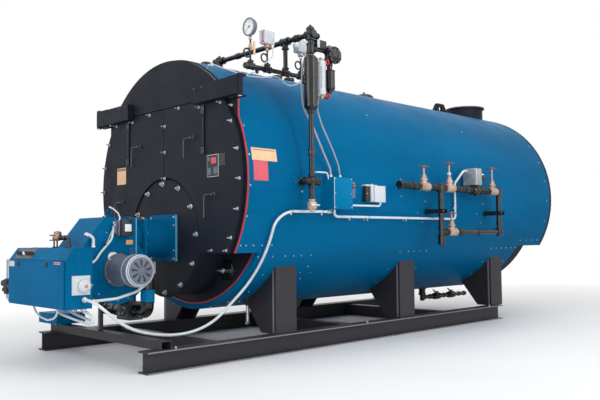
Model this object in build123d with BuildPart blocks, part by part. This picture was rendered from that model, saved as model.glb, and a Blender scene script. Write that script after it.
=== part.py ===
from build123d import *
from math import sqrt, tan, radians, degrees, acos
import os

os.makedirs("parts", exist_ok=True)

# Horizontal packaged fire-tube boiler on a two-beam skid.
# X runs to the side that carries the feed valves, Y runs from the burner end to the rear, Z is up.
# The origin is on the floor, under the middle of the skid.

# Shell
beam_depth = 181
jacket_radius = 1250
lagging_thickness = 67
shell_inner_radius = jacket_radius - lagging_thickness
shell_clearance = 204
axis_height = beam_depth + shell_clearance + jacket_radius
jacket_length = 5565
door_depth = 35
door_clearance = 5
flange_depth = 20
smokebox_depth = 273
rear_smokebox_depth = 452
smokebox_floor_drop = 670
smokebox_floor_height = axis_height - smokebox_floor_drop
floor_plate = 12
tube_sheet_thickness = 22
tube_sheet_setback = 12

# Skid
skid_length = 5473
skid_front_overhang = 815
beam_flange_width = 150
beam_flange_thickness = 13
beam_web_thickness = 9
beam_outer_edge = 1015
cross_member_width = 120
cross_member_height = 150
cross_member_wall = 9
front_cross_tube_width = 100
front_cross_tube_height = 75
front_cross_tube_wall = 6
front_cross_tube_offset = 640

# Saddles
saddle_plate_face = 954
saddle_plate_thickness = 16
saddle_width = 273
saddle_foot_inner = 740
saddle_tip_inner = 500
saddle_offsets = [767, 2671, 4616]
saddle_plate_overlap = 2
saddle_top_allowance = 72
saddle_tip_drop = 10
saddle_tip_allowance = 110

# Positions along the boiler
front_y = skid_front_overhang - skid_length / 2
flange_y = front_y + door_depth + door_clearance
shell_y = flange_y + flange_depth
lower_front_y = shell_y + smokebox_depth
front_sheet_y = lower_front_y + tube_sheet_setback
rear_y = shell_y + jacket_length
lower_rear_y = rear_y - rear_smokebox_depth
rear_sheet_y = lower_rear_y - tube_sheet_setback - tube_sheet_thickness

# Front end
ear_inset = 130
ear_half_width = jacket_radius - ear_inset
ear_rise = 911
ear_height = axis_height + ear_rise
door_inset = 34
door_radius = jacket_radius - door_inset
door_overlap = 66
flange_opening_radius = door_radius - door_overlap
door_rise = 760
door_top = axis_height + door_rise
door_seam_gap = 8
arch_inset = 10
arch_radius = jacket_radius - arch_inset
arch_bottom = door_top + door_seam_gap
furnace_tube_radius = 560
furnace_wall = 22
furnace_water_gap = 97
furnace_height = axis_height - shell_inner_radius + furnace_water_gap + furnace_tube_radius
furnace_plate_rim = 25
furnace_plate_radius = furnace_tube_radius + furnace_plate_rim
furnace_plate_depth = 26
furnace_plate_setback = 7
door_furnace_gap = 12
rear_cover_depth = 22

# Door davits
hinge_pin_radius = 14
pin_clearance = 0.1
knuckle_radius = 26
hinge_clearance = 4
hinge_x = door_radius + knuckle_radius + hinge_clearance
hinge_offset = 34
hinge_y = front_y - hinge_offset
arm_inner_x = 575
arm_drop = 33
arm_bottom = door_top - arm_drop
arm_height = 165
arm_depth = 62
arm_gap = 6
strap_x = 668
strap_width = 34
strap_length = 477
strap_lap = 60
strap_thickness = 12
bracket_gap = 0.5
bracket_plate_thickness = 16
bracket_lap = 40

# Top fittings
crown_height = axis_height + jacket_radius
stack_inset = 195
stack_pipe_radius = 205
stack_pipe_wall = 15
stack_flange_radius = 290
stack_flange_thickness = 20
stack_rise = 165
stack_top = crown_height + stack_rise
stack_bolt_circle = 530
stack_bolts = 12
stack_bolt_hole = 11
manway_offset = 3110
manway_neck_radius = 150
manway_cover_radius = 185
manway_cover_thickness = 30
manway_rise = 105
manway_top = crown_height + manway_rise
manway_root = 120
relief_offsets = [1540, 1730]
relief_radius = 60
relief_rise = 87
relief_top = crown_height + relief_rise
relief_root = 60
lug_offset = 4765
lug_length = 320
lug_thickness = 40
lug_rise = 165
lug_top = crown_height + lug_rise
lug_shoulder = 60
lug_root = 20
lug_hole_radius = 42
lug_hole_drop = 75

# Skid beams
beam_x = beam_outer_edge - beam_flange_width / 2


for side, sign in (("left", -1), ("right", 1)):
    with BuildPart() as skid_beam:
        with BuildSketch(Plane.XZ.offset(skid_length / 2)):
            with Locations((sign * beam_x, beam_flange_thickness / 2)):
                Rectangle(beam_flange_width, beam_flange_thickness)
            with Locations((sign * beam_x, beam_depth - beam_flange_thickness / 2)):
                Rectangle(beam_flange_width, beam_flange_thickness)
            with Locations((sign * beam_x, beam_depth / 2)):
                Rectangle(beam_web_thickness, beam_depth)
        extrude(amount=-skid_length)
    skid_beam.part.label = "skid_beam_" + side
    export_step(skid_beam.part, "parts/skid_beam_" + side + ".step")

# Cross members between the beam webs, the middle one at the origin
cross_half = beam_x - beam_web_thickness / 2
cross_offsets = [-1850, 0, 1790]
with BuildPart() as cross_members:
    for offset in cross_offsets:
        with BuildSketch(Plane.YZ.offset(-cross_half)):
            with Locations((offset, cross_member_height / 2)):
                Rectangle(cross_member_width, cross_member_height)
            with Locations((offset + cross_member_wall, cross_member_height / 2)):
                Rectangle(
                    cross_member_width,
                    cross_member_height - 2 * cross_member_wall,
                    mode=Mode.SUBTRACT,
                )
        extrude(amount=2 * cross_half)
    # each end is notched over the lower beam flange
    with Locations(
        (beam_x, 0, beam_flange_thickness / 2),
        (-beam_x, 0, beam_flange_thickness / 2),
    ):
        Box(beam_flange_width, skid_length, beam_flange_thickness, mode=Mode.SUBTRACT)
cross_members.part.label = "cross_members"
export_step(cross_members.part, "parts/cross_members.step")

# Front cross tube on top of the beams, carries the burner post
front_cross_y = front_y - front_cross_tube_offset
with BuildPart() as front_cross_tube:
    with BuildSketch(Plane.YZ.offset(-beam_outer_edge)):
        with Locations((front_cross_y, beam_depth + front_cross_tube_height / 2)):
            Rectangle(front_cross_tube_width, front_cross_tube_height)
            Rectangle(
                front_cross_tube_width - 2 * front_cross_tube_wall,
                front_cross_tube_height - 2 * front_cross_tube_wall,
                mode=Mode.SUBTRACT,
            )
    extrude(amount=2 * beam_outer_edge)
front_cross_tube.part.label = "front_cross_tube"
export_step(front_cross_tube.part, "parts/front_cross_tube.step")

# Saddles, a pair of posts at each station
def shell_underside(x):
    return axis_height - sqrt(jacket_radius**2 - x**2)


saddle_top = shell_underside(saddle_plate_face) + saddle_top_allowance
for station, offset in zip(("front", "middle", "rear"), saddle_offsets):
    saddle_y = front_y + offset
    with BuildPart() as saddle:
        for sign in (-1, 1):
            # outer plate
            with BuildSketch(Plane.XY.offset(beam_depth)):
                with Locations((sign * (saddle_plate_face - saddle_plate_thickness / 2), saddle_y)):
                    Rectangle(saddle_plate_thickness, saddle_width)
            extrude(amount=saddle_top - beam_depth)
            # two webs that run in under the shell
            for edge in (-1, 1):
                web_y = saddle_y + edge * (saddle_width - saddle_plate_thickness) / 2
                with BuildSketch(Plane.XZ.offset(-web_y - saddle_plate_thickness / 2)):
                    with BuildLine():
                        Polyline(
                            (sign * (saddle_plate_face - saddle_plate_overlap), beam_depth),
                            (sign * saddle_foot_inner, beam_depth),
                            (sign * saddle_tip_inner, shell_underside(saddle_tip_inner) - saddle_tip_drop),
                            (sign * saddle_tip_inner, shell_underside(saddle_tip_inner) + saddle_tip_allowance),
                            (sign * (saddle_plate_face - saddle_plate_overlap), saddle_top),
                            close=True,
                        )
                    make_face()
                extrude(amount=saddle_plate_thickness)
        # the shell rests in the cradle
        with Locations(Location((0, saddle_y, axis_height), (90, 0, 0))):
            Cylinder(jacket_radius, 2 * saddle_width, mode=Mode.SUBTRACT)
    saddle.part.label = "saddle_" + station
    export_step(saddle.part, "parts/saddle_" + station + ".step")

# Jacket: a full ring over the pressure part, only the upper part over the smokeboxes
with BuildPart() as boiler_jacket:
    with BuildSketch(Plane.XZ.offset(-shell_y)):
        with Locations((0, axis_height)):
            Circle(jacket_radius)
            Circle(shell_inner_radius, mode=Mode.SUBTRACT)
    extrude(amount=-jacket_length)
    with Locations(
        (0, (shell_y + lower_front_y) / 2, smokebox_floor_height - jacket_radius / 2),
    ):
        Box(2.2 * jacket_radius, smokebox_depth, jacket_radius, mode=Mode.SUBTRACT)
    with Locations(
        (0, (lower_rear_y + rear_y) / 2, smokebox_floor_height - jacket_radius / 2),
    ):
        Box(2.2 * jacket_radius, rear_y - lower_rear_y, jacket_radius, mode=Mode.SUBTRACT)
    # outlet under the stack
    with Locations((0, rear_y - stack_inset, crown_height)):
        Cylinder(stack_pipe_radius - stack_pipe_wall, jacket_radius / 2, mode=Mode.SUBTRACT)
boiler_jacket.part.label = "boiler_jacket"
export_step(boiler_jacket.part, "parts/boiler_jacket.step")

# Tube sheets
with BuildPart() as front_tube_sheet:
    with BuildSketch(Plane.XZ.offset(-front_sheet_y)):
        with Locations((0, axis_height)):
            Circle(shell_inner_radius)
        with Locations((0, furnace_height)):
            Circle(furnace_tube_radius, mode=Mode.SUBTRACT)
    extrude(amount=-tube_sheet_thickness)
front_tube_sheet.part.label = "front_tube_sheet"
export_step(front_tube_sheet.part, "parts/front_tube_sheet.step")

with BuildPart() as rear_tube_sheet:
    with BuildSketch(Plane.XZ.offset(-rear_sheet_y)):
        with Locations((0, axis_height)):
            Circle(shell_inner_radius)
    extrude(amount=-tube_sheet_thickness)
rear_tube_sheet.part.label = "rear_tube_sheet"
export_step(rear_tube_sheet.part, "parts/rear_tube_sheet.step")

# Furnace tube from the front plate to the rear tube sheet
furnace_plate_y = front_y + furnace_plate_setback
furnace_tube_y = furnace_plate_y + furnace_plate_depth
with BuildPart() as furnace_tube:
    with BuildSketch(Plane.XZ.offset(-furnace_tube_y)):
        with Locations((0, furnace_height)):
            Circle(furnace_tube_radius)
            Circle(furnace_tube_radius - furnace_wall, mode=Mode.SUBTRACT)
    extrude(amount=-(rear_sheet_y - furnace_tube_y))
furnace_tube.part.label = "furnace_tube"
export_step(furnace_tube.part, "parts/furnace_tube.step")

with BuildPart() as furnace_front_plate:
    with BuildSketch(Plane.XZ.offset(-furnace_plate_y)):
        with Locations((0, furnace_height)):
            Circle(furnace_plate_radius)
    extrude(amount=-furnace_plate_depth)
    chamfer(furnace_front_plate.faces().sort_by(Axis.Y)[0].edges(), 4)
furnace_front_plate.part.label = "furnace_front_plate"
export_step(furnace_front_plate.part, "parts/furnace_front_plate.step")

# Rear smokebox floor and cover
with BuildPart() as rear_cover:
    with BuildSketch(Plane.XZ.offset(-rear_sheet_y - tube_sheet_thickness)):
        with Locations((0, smokebox_floor_height + floor_plate / 2)):
            Rectangle(2 * jacket_radius, floor_plate)
        with Locations((0, axis_height)):
            Circle(shell_inner_radius, mode=Mode.INTERSECT)
    extrude(amount=-(rear_y - rear_sheet_y - tube_sheet_thickness))
    with BuildSketch(Plane.XZ.offset(-rear_y)):
        with Locations((0, axis_height)):
            Circle(jacket_radius)
        with Locations((0, smokebox_floor_height - jacket_radius / 2)):
            Rectangle(2.2 * jacket_radius, jacket_radius, mode=Mode.SUBTRACT)
    extrude(amount=-rear_cover_depth)
rear_cover.part.label = "rear_cover"
export_step(rear_cover.part, "parts/rear_cover.step")

# Front flange plate with square shoulders
with BuildPart() as front_flange_plate:
    with BuildSketch(Plane.XZ.offset(-flange_y)):
        with Locations((0, axis_height)):
            Circle(jacket_radius)
        with Locations((0, (axis_height + ear_height) / 2)):
            Rectangle(2 * ear_half_width, ear_height - axis_height)
        with Locations((0, axis_height)):
            Circle(flange_opening_radius, mode=Mode.SUBTRACT)
        with Locations((0, smokebox_floor_height - jacket_radius / 2)):
            Rectangle(2.2 * jacket_radius, jacket_radius, mode=Mode.SUBTRACT)
    extrude(amount=-flange_depth)
    # smokebox floor with a collar round the furnace tube
    with BuildSketch(Plane.XZ.offset(-flange_y)):
        with Locations((0, smokebox_floor_height + floor_plate / 2)):
            Rectangle(2 * jacket_radius, floor_plate)
        with Locations((0, furnace_height)):
            Circle(furnace_tube_radius + floor_plate)
            Circle(furnace_tube_radius, mode=Mode.SUBTRACT)
        with Locations((0, axis_height)):
            Circle(shell_inner_radius, mode=Mode.INTERSECT)
    extrude(amount=-(front_sheet_y - flange_y))
front_flange_plate.part.label = "front_flange_plate"
export_step(front_flange_plate.part, "parts/front_flange_plate.step")

# Arch plate above the doors
with BuildPart() as arch_plate:
    with BuildSketch(Plane.XZ.offset(-front_y)):
        with Locations((0, axis_height)):
            Circle(arch_radius)
        with Locations((0, arch_bottom - jacket_radius)):
            Rectangle(2.2 * jacket_radius, 2 * jacket_radius, mode=Mode.SUBTRACT)
    extrude(amount=-(door_depth + door_clearance))
arch_plate.part.label = "arch_plate"
export_step(arch_plate.part, "parts/arch_plate.step")

# Smokebox doors with their davit arms
for side, sign in (("left", -1), ("right", 1)):
    with BuildPart() as smokebox_door:
        with BuildSketch(Plane.XZ.offset(-front_y)):
            with Locations((0, axis_height)):
                Circle(door_radius)
            with Locations((-sign * (jacket_radius - door_seam_gap / 2), axis_height)):
                Rectangle(2 * jacket_radius, 2.2 * jacket_radius, mode=Mode.SUBTRACT)
            with Locations((0, door_top + jacket_radius)):
                Rectangle(2.2 * jacket_radius, 2 * jacket_radius, mode=Mode.SUBTRACT)
            with Locations((0, smokebox_floor_height - jacket_radius / 2)):
                Rectangle(2.2 * jacket_radius, jacket_radius, mode=Mode.SUBTRACT)
            with Locations((0, furnace_height)):
                Circle(furnace_plate_radius + door_furnace_gap, mode=Mode.SUBTRACT)
        extrude(amount=-door_depth)
    smokebox_door.part.label = "smokebox_door_" + side
    export_step(smokebox_door.part, "parts/smokebox_door_" + side + ".step")

    # box arm with its knuckle on the pin
    with BuildPart() as davit_arm:
        with BuildSketch(Plane.XY.offset(arm_bottom)):
            with Locations(
                (sign * (arm_inner_x + hinge_x) / 2, front_y - arm_gap - arm_depth / 2),
            ):
                Rectangle(hinge_x - arm_inner_x, arm_depth)
            with Locations((sign * hinge_x, hinge_y)):
                Circle(knuckle_radius)
        extrude(amount=arm_height)
        with BuildSketch(Plane.XY.offset(arm_bottom)):
            with Locations((sign * hinge_x, hinge_y)):
                Circle(hinge_pin_radius + pin_clearance)
        extrude(amount=arm_height, mode=Mode.SUBTRACT)
        # strap that carries the door
        with Locations(
            (
                sign * strap_x,
                front_y - strap_thickness / 2,
                arm_bottom + (strap_lap - strap_length) / 2,
            ),
        ):
            Box(strap_width, strap_thickness, strap_length + strap_lap)
    davit_arm.part.label = "davit_arm_" + side
    export_step(davit_arm.part, "parts/davit_arm_" + side + ".step")

    # pin bracket on the shoulder of the flange plate
    with BuildPart() as hinge_bracket:
        for level in (arm_bottom - bracket_gap - bracket_plate_thickness, arm_bottom + arm_height + bracket_gap):
            with BuildSketch(Plane.XY.offset(level)):
                with Locations((sign * hinge_x, hinge_y)):
                    Circle(knuckle_radius)
                with Locations((sign * (hinge_x + ear_half_width - bracket_lap) / 2, (hinge_y + flange_y) / 2)):
                    Rectangle(hinge_x - ear_half_width + bracket_lap, flange_y - hinge_y)
            extrude(amount=bracket_plate_thickness)
        with BuildSketch(Plane.XY.offset(arm_bottom - bracket_gap - bracket_plate_thickness)):
            with Locations((sign * hinge_x, hinge_y)):
                Circle(hinge_pin_radius)
        extrude(amount=arm_height + 2 * bracket_gap + 2 * bracket_plate_thickness)
    hinge_bracket.part.label = "hinge_bracket_" + side
    export_step(hinge_bracket.part, "parts/hinge_bracket_" + side + ".step")

# Top fittings on the shell
stack_y = rear_y - stack_inset
with BuildPart() as stack_outlet:
    with BuildSketch(Plane.XY.offset(axis_height)):
        with Locations((0, stack_y)):
            Circle(stack_pipe_radius)
            Circle(stack_pipe_radius - stack_pipe_wall, mode=Mode.SUBTRACT)
    extrude(amount=stack_top - axis_height)
    with BuildSketch(Plane.XY.offset(stack_top - stack_flange_thickness)):
        with Locations((0, stack_y)):
            Circle(stack_flange_radius)
            Circle(stack_pipe_radius - stack_pipe_wall, mode=Mode.SUBTRACT)
            with PolarLocations(stack_bolt_circle / 2, stack_bolts):
                Circle(stack_bolt_hole, mode=Mode.SUBTRACT)
    extrude(amount=stack_flange_thickness)
    with Locations(Location((0, stack_y, axis_height), (90, 0, 0))):
        Cylinder(jacket_radius, 4 * stack_flange_radius, mode=Mode.SUBTRACT)
stack_outlet.part.label = "stack_outlet"
export_step(stack_outlet.part, "parts/stack_outlet.step")

manway_y = front_y + manway_offset
with BuildPart() as manway:
    with BuildSketch(Plane.XY.offset(crown_height - manway_root)):
        with Locations((0, manway_y)):
            Circle(manway_neck_radius)
    extrude(amount=manway_top - crown_height + manway_root)
    with BuildSketch(Plane.XY.offset(manway_top - manway_cover_thickness)):
        with Locations((0, manway_y)):
            Circle(manway_cover_radius)
    extrude(amount=manway_cover_thickness)
    with Locations(Location((0, manway_y, axis_height), (90, 0, 0))):
        Cylinder(jacket_radius, 4 * manway_cover_radius, mode=Mode.SUBTRACT)
manway.part.label = "manway"
export_step(manway.part, "parts/manway.step")

with BuildPart() as relief_nozzles:
    for offset in relief_offsets:
        with BuildSketch(Plane.XY.offset(crown_height - relief_root)):
            with Locations((0, front_y + offset)):
                Circle(relief_radius)
        extrude(amount=relief_top - crown_height + relief_root)
    with Locations(Location((0, front_y + relief_offsets[0], axis_height), (90, 0, 0))):
        Cylinder(jacket_radius, jacket_radius, mode=Mode.SUBTRACT)
relief_nozzles.part.label = "relief_nozzles"
export_step(relief_nozzles.part, "parts/relief_nozzles.step")

with BuildPart() as lifting_lug:
    with BuildSketch(Plane.YZ.offset(-lug_thickness / 2)):
        with BuildLine():
            Polyline(
                (front_y + lug_offset - lug_length / 2, crown_height - lug_root),
                (front_y + lug_offset - lug_length / 2, crown_height + lug_shoulder),
                (front_y + lug_offset - lug_length / 4, lug_top),
                (front_y + lug_offset + lug_length / 4, lug_top),
                (front_y + lug_offset + lug_length / 2, crown_height + lug_shoulder),
                (front_y + lug_offset + lug_length / 2, crown_height - lug_root),
                close=True,
            )
        make_face()
        with Locations((front_y + lug_offset, lug_top - lug_hole_drop)):
            Circle(lug_hole_radius, mode=Mode.SUBTRACT)
    extrude(amount=lug_thickness)
    with Locations(Location((0, front_y + lug_offset, axis_height), (90, 0, 0))):
        Cylinder(jacket_radius, 2 * lug_length, mode=Mode.SUBTRACT)
lifting_lug.part.label = "lifting_lug"
export_step(lifting_lug.part, "parts/lifting_lug.step")

# Burner
burner_flange_side = 460
burner_flange_depth = 22
burner_tube_radius = 186
burner_tube_length = 402
burner_ring_radius = 207
burner_ring_depth = 26
housing_width = 470
housing_rise = 191
housing_top = furnace_height + housing_rise
housing_length = 605
housing_skirt = 90
housing_slope = 270
housing_front_drop = 340
housing_front_top = housing_top - housing_front_drop
fan_offset = 638
fan_drop = 286
fan_height = furnace_height - fan_drop
fan_radius = 305
motor_radius = 132
motor_cover_radius = 143
motor_end_x = 620
motor_cover_length = 90
motor_flange_radius = 150
motor_flange_thickness = 22
motor_cover_edge = 12
motor_cover_gap = 10
terminal_box_x = 468
terminal_box_length = 120
terminal_box_depth = 90
terminal_box_height = 100
terminal_box_rise = 20
terminal_box_seat = 23
actuator_depth = 80
actuator_width = 185
actuator_side = 160
actuator_offset = 590
actuator_drop = 100
actuator_height = housing_top - actuator_drop
actuator_corner = 8
post_radius = 24
post_x = -80

burner_flange_y = furnace_plate_y - burner_flange_depth
with BuildPart() as burner_tube:
    with BuildSketch(Plane.XZ.offset(-burner_flange_y)):
        with Locations((0, furnace_height)):
            Rectangle(burner_flange_side, burner_flange_side)
    extrude(amount=-burner_flange_depth)
    with BuildSketch(Plane.XZ.offset(-burner_flange_y)):
        with Locations((0, furnace_height)):
            Circle(burner_tube_radius)
    extrude(amount=burner_tube_length)
    with BuildSketch(Plane.XZ.offset(-burner_flange_y + burner_tube_length)):
        with Locations((0, furnace_height)):
            Circle(burner_ring_radius)
    extrude(amount=burner_ring_depth)
burner_tube.part.label = "burner_tube"
export_step(burner_tube.part, "parts/burner_tube.step")

housing_rear_y = burner_flange_y - burner_tube_length - burner_ring_depth
housing_front_y = housing_rear_y - housing_length
fan_y = front_y - fan_offset
with BuildPart() as blower_housing:
    with BuildSketch(Plane.YZ.offset(-housing_width / 2)):
        with BuildLine():
            Polyline(
                (housing_rear_y, fan_height - housing_skirt),
                (housing_rear_y, housing_top),
                (housing_front_y + housing_slope, housing_top),
                (housing_front_y, housing_front_top),
                (housing_front_y, fan_height - housing_skirt),
                close=True,
            )
        make_face()
        with Locations((fan_y, fan_height)):
            Circle(fan_radius)
    extrude(amount=housing_width)
    add(burner_tube.part, mode=Mode.SUBTRACT)
blower_housing.part.label = "blower_housing"
export_step(blower_housing.part, "parts/blower_housing.step")

with BuildPart() as blower_motor:
    with BuildSketch(Plane.YZ.offset(housing_width / 2)):
        with Locations((fan_y, fan_height)):
            Circle(motor_flange_radius)
    extrude(amount=motor_flange_thickness)
    with BuildSketch(Plane.YZ.offset(housing_width / 2)):
        with Locations((fan_y, fan_height)):
            Circle(motor_radius)
    extrude(amount=motor_end_x - housing_width / 2 - motor_cover_gap)
    with BuildSketch(Plane.YZ.offset(motor_end_x - motor_cover_length)):
        with Locations((fan_y, fan_height)):
            Circle(motor_cover_radius)
    extrude(amount=motor_cover_length)
    chamfer(blower_motor.faces().sort_by(Axis.X)[-1].edges(), motor_cover_edge)
    with Locations(
        (
            terminal_box_x,
            fan_y + motor_radius - terminal_box_seat + terminal_box_depth / 2,
            fan_height + terminal_box_rise,
        ),
    ):
        Box(terminal_box_length, terminal_box_depth, terminal_box_height)
blower_motor.part.label = "blower_motor"
export_step(blower_motor.part, "parts/blower_motor.step")

with BuildPart() as damper_actuator:
    with Locations((housing_width / 2 + actuator_depth / 2, front_y - actuator_offset, actuator_height)):
        Box(actuator_depth, actuator_width, actuator_side)
    fillet(damper_actuator.edges().filter_by(Axis.X), actuator_corner)
damper_actuator.part.label = "damper_actuator"
export_step(damper_actuator.part, "parts/damper_actuator.step")

with BuildPart() as burner_post:
    with BuildSketch(Plane.XY.offset(beam_depth + front_cross_tube_height)):
        with Locations((post_x, front_cross_y)):
            Circle(post_radius)
    extrude(until=Until.NEXT, target=blower_housing.part)
burner_post.part.label = "burner_post"
export_step(burner_post.part, "parts/burner_post.step")

# Gas train under the burner
gas_offset = 400
gas_y = front_y - gas_offset
gas_height = 430
gas_pipe_radius = 57
gas_x_far = -420
gas_reach = 110
gas_x_near = housing_width / 2 + gas_reach
gas_riser = 330
gas_bend = 60
gas_valve_start = -60
gas_valve_length = 200
gas_valve_side = 170
gas_valve_corner = 20
gas_actuator_x = 40
gas_actuator_radius = 55
gas_actuator_height = 145
with BuildPart() as gas_pipe:
    with BuildLine():
        FilletPolyline(
            (gas_x_far, gas_y, gas_height),
            (gas_x_near, gas_y, gas_height),
            (gas_x_near, gas_y, gas_height + gas_riser),
            (housing_width / 2, gas_y, gas_height + gas_riser),
            radius=gas_bend,
        )
    with BuildSketch(Plane((gas_x_far, gas_y, gas_height), x_dir=(0, 1, 0), z_dir=(1, 0, 0))):
        Circle(gas_pipe_radius)
    sweep()
gas_pipe.part.label = "gas_pipe"
export_step(gas_pipe.part, "parts/gas_pipe.step")

with BuildPart() as gas_valve:
    with BuildSketch(Plane.YZ.offset(gas_valve_start)):
        with Locations((gas_y, gas_height)):
            RectangleRounded(gas_valve_side, gas_valve_side, gas_valve_corner)
    extrude(amount=gas_valve_length)
    with BuildSketch(Plane.XY.offset(gas_height)):
        with Locations((gas_actuator_x, gas_y)):
            Circle(gas_actuator_radius)
    extrude(amount=gas_actuator_height)
    add(gas_pipe.part, mode=Mode.SUBTRACT)
gas_valve.part.label = "gas_valve"
export_step(gas_valve.part, "parts/gas_valve.step")

# Control cabinet on the front of the blower housing
cabinet_left = -593
cabinet_right = 530
cabinet_depth = 252
cabinet_front_y = housing_front_y - cabinet_depth
cabinet_drop = 270
cabinet_top = housing_top - cabinet_drop
cabinet_shoulder = 100
cabinet_front_top = cabinet_top - cabinet_shoulder
cabinet_face_height = 405
cabinet_bottom = cabinet_front_top - cabinet_face_height
cabinet_slope = 86
cabinet_wall = 6
cabinet_edge = 30
cover_thickness = 12
cover_gap = 0.8
cover_margin = 10
cover_corner = 6
cabinet_rear_y = housing_front_y
cabinet_body_y = cabinet_front_y + cover_thickness + cover_gap
with BuildPart() as control_cabinet:
    with BuildSketch(Plane.YZ.offset(cabinet_left)):
        with BuildLine():
            Polyline(
                (cabinet_body_y, cabinet_bottom),
                (cabinet_body_y, cabinet_front_top),
                (cabinet_front_y + cabinet_slope, cabinet_top),
                (cabinet_rear_y, cabinet_top),
                (cabinet_rear_y, cabinet_bottom),
                close=True,
            )
        make_face()
    extrude(amount=cabinet_right - cabinet_left)
    with Locations(
        (
            (cabinet_left + cabinet_right) / 2,
            (cabinet_body_y + cabinet_rear_y - cabinet_wall) / 2,
            (cabinet_bottom + cabinet_front_top) / 2,
        ),
    ):
        Box(
            cabinet_right - cabinet_left - 2 * cabinet_wall,
            cabinet_rear_y - cabinet_body_y - cabinet_wall,
            cabinet_front_top - cabinet_bottom - 2 * cabinet_edge,
            mode=Mode.SUBTRACT,
        )
control_cabinet.part.label = "control_cabinet"
export_step(control_cabinet.part, "parts/control_cabinet.step")

with BuildPart() as cabinet_cover:
    with Locations(
        (
            (cabinet_left + cabinet_right) / 2,
            cabinet_front_y + cover_thickness / 2,
            (cabinet_bottom + cabinet_front_top) / 2,
        ),
    ):
        Box(
            cabinet_right - cabinet_left - 2 * cover_margin,
            cover_thickness,
            cabinet_front_top - cabinet_bottom - 2 * cover_margin,
        )
    fillet(cabinet_cover.edges().filter_by(Axis.Y), cover_corner)
cabinet_cover.part.label = "cabinet_cover"
export_step(cabinet_cover.part, "parts/cabinet_cover.step")

bell_side = 160
bell_reach = 60
bell_setback = 145
bell_rise = 197
bell_height = cabinet_bottom + bell_rise
bell_edge = 14
with BuildPart() as alarm_bell:
    with Locations((cabinet_right + bell_reach / 2, cabinet_front_y + bell_setback, bell_height)):
        Box(bell_reach, bell_side, bell_side)
    fillet(alarm_bell.faces().sort_by(Axis.X)[-1].edges(), bell_edge)
alarm_bell.part.label = "alarm_bell"
export_step(alarm_bell.part, "parts/alarm_bell.step")

# Low box on the far beam under the cabinet
base_box_x = -870
base_box_length = 400
base_box_width = 300
base_box_height = 100
base_foot_height = 15
base_foot_length = 40
base_foot_width = 80
base_foot_spacing = 110
tube_top = beam_depth + front_cross_tube_height
with BuildPart() as base_box:
    with Locations((base_box_x, front_cross_y, tube_top + base_foot_height + base_box_height / 2)):
        Box(base_box_length, base_box_width, base_box_height)
    for side in (-1, 1):
        with Locations((base_box_x + side * base_foot_spacing, front_cross_y, tube_top + base_foot_height / 2)):
            Box(base_foot_length, base_foot_width, base_foot_height)
base_box.part.label = "base_box"
export_step(base_box.part, "parts/base_box.step")

# Steam and water side piping at the front right
pipe_radius = 25
fitting_radius = 36
pipe_root = 40
manifold_inset = 210
manifold_x = jacket_radius - manifold_inset
manifold_radius = 22
manifold_clearance = 361.5
manifold_height = axis_height + sqrt(jacket_radius**2 - manifold_x**2) + manifold_clearance
manifold_start = 190
manifold_end = 965
manifold_drop = 310
steam_height = manifold_height + manifold_drop
column_offset = 705
column_y = front_y + column_offset
column_radius = 64
column_clearance = 71
column_x = jacket_radius + column_clearance + column_radius
column_neck = 200
column_length = 515
column_edge = 26
column_top = steam_height - column_neck
column_bottom = column_top - column_length
tee_half = 50
column_tee_half = 55
column_plug = 65
side_plug = 95
side_plug_radius = 30
cutoff_arm_drop = 130
cutoff_tee_half = 44
arm_height = steam_height - cutoff_arm_drop
elbow_reach = 76
with BuildPart() as equalizing_pipe:
    with BuildSketch(Plane.XY.offset(crown_height - pipe_root)):
        with Locations((0, column_y)):
            Circle(fitting_radius)
    extrude(amount=steam_height - crown_height + pipe_root + fitting_radius)
    with Locations(Location((0, column_y, axis_height), (90, 0, 0))):
        Cylinder(jacket_radius, 4 * elbow_reach, mode=Mode.SUBTRACT)
    with BuildSketch(Plane.YZ.offset(-elbow_reach)):
        with Locations((column_y, steam_height)):
            Circle(fitting_radius)
    extrude(amount=2 * elbow_reach)
    with BuildSketch(Plane.YZ.offset(elbow_reach)):
        with Locations((column_y, steam_height)):
            Circle(pipe_radius)
    extrude(amount=column_x - elbow_reach)
    for tee_x, half in ((manifold_x, tee_half), (column_x, column_tee_half)):
        with BuildSketch(Plane.YZ.offset(tee_x - half)):
            with Locations((column_y, steam_height)):
                Circle(fitting_radius)
        extrude(amount=2 * half)
    with BuildSketch(Plane.XY.offset(column_top)):
        with Locations((column_x, column_y)):
            Circle(pipe_radius)
    extrude(amount=column_neck)
    with BuildSketch(Plane.XY.offset(steam_height - column_tee_half)):
        with Locations((column_x, column_y)):
            Circle(fitting_radius)
    extrude(amount=column_tee_half + column_plug)
    with BuildSketch(Plane.XZ.offset(-column_y)):
        with Locations((column_x, steam_height)):
            Circle(side_plug_radius)
    extrude(amount=-side_plug)
    with BuildSketch(Plane.XY.offset(arm_height - cutoff_tee_half)):
        with Locations((column_x, column_y)):
            Circle(fitting_radius)
    extrude(amount=2 * cutoff_tee_half)
equalizing_pipe.part.label = "equalizing_pipe"
export_step(equalizing_pipe.part, "parts/equalizing_pipe.step")

with BuildPart() as control_manifold:
    with BuildSketch(Plane.XZ.offset(-front_y - manifold_start)):
        with Locations((manifold_x, manifold_height)):
            Circle(manifold_radius)
    extrude(amount=-(manifold_end - manifold_start))
    with BuildSketch(Plane.XY.offset(manifold_height)):
        with Locations((manifold_x, column_y)):
            Circle(manifold_radius)
    extrude(amount=manifold_drop)
    add(equalizing_pipe.part, mode=Mode.SUBTRACT)
control_manifold.part.label = "control_manifold"
export_step(control_manifold.part, "parts/control_manifold.step")

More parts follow.
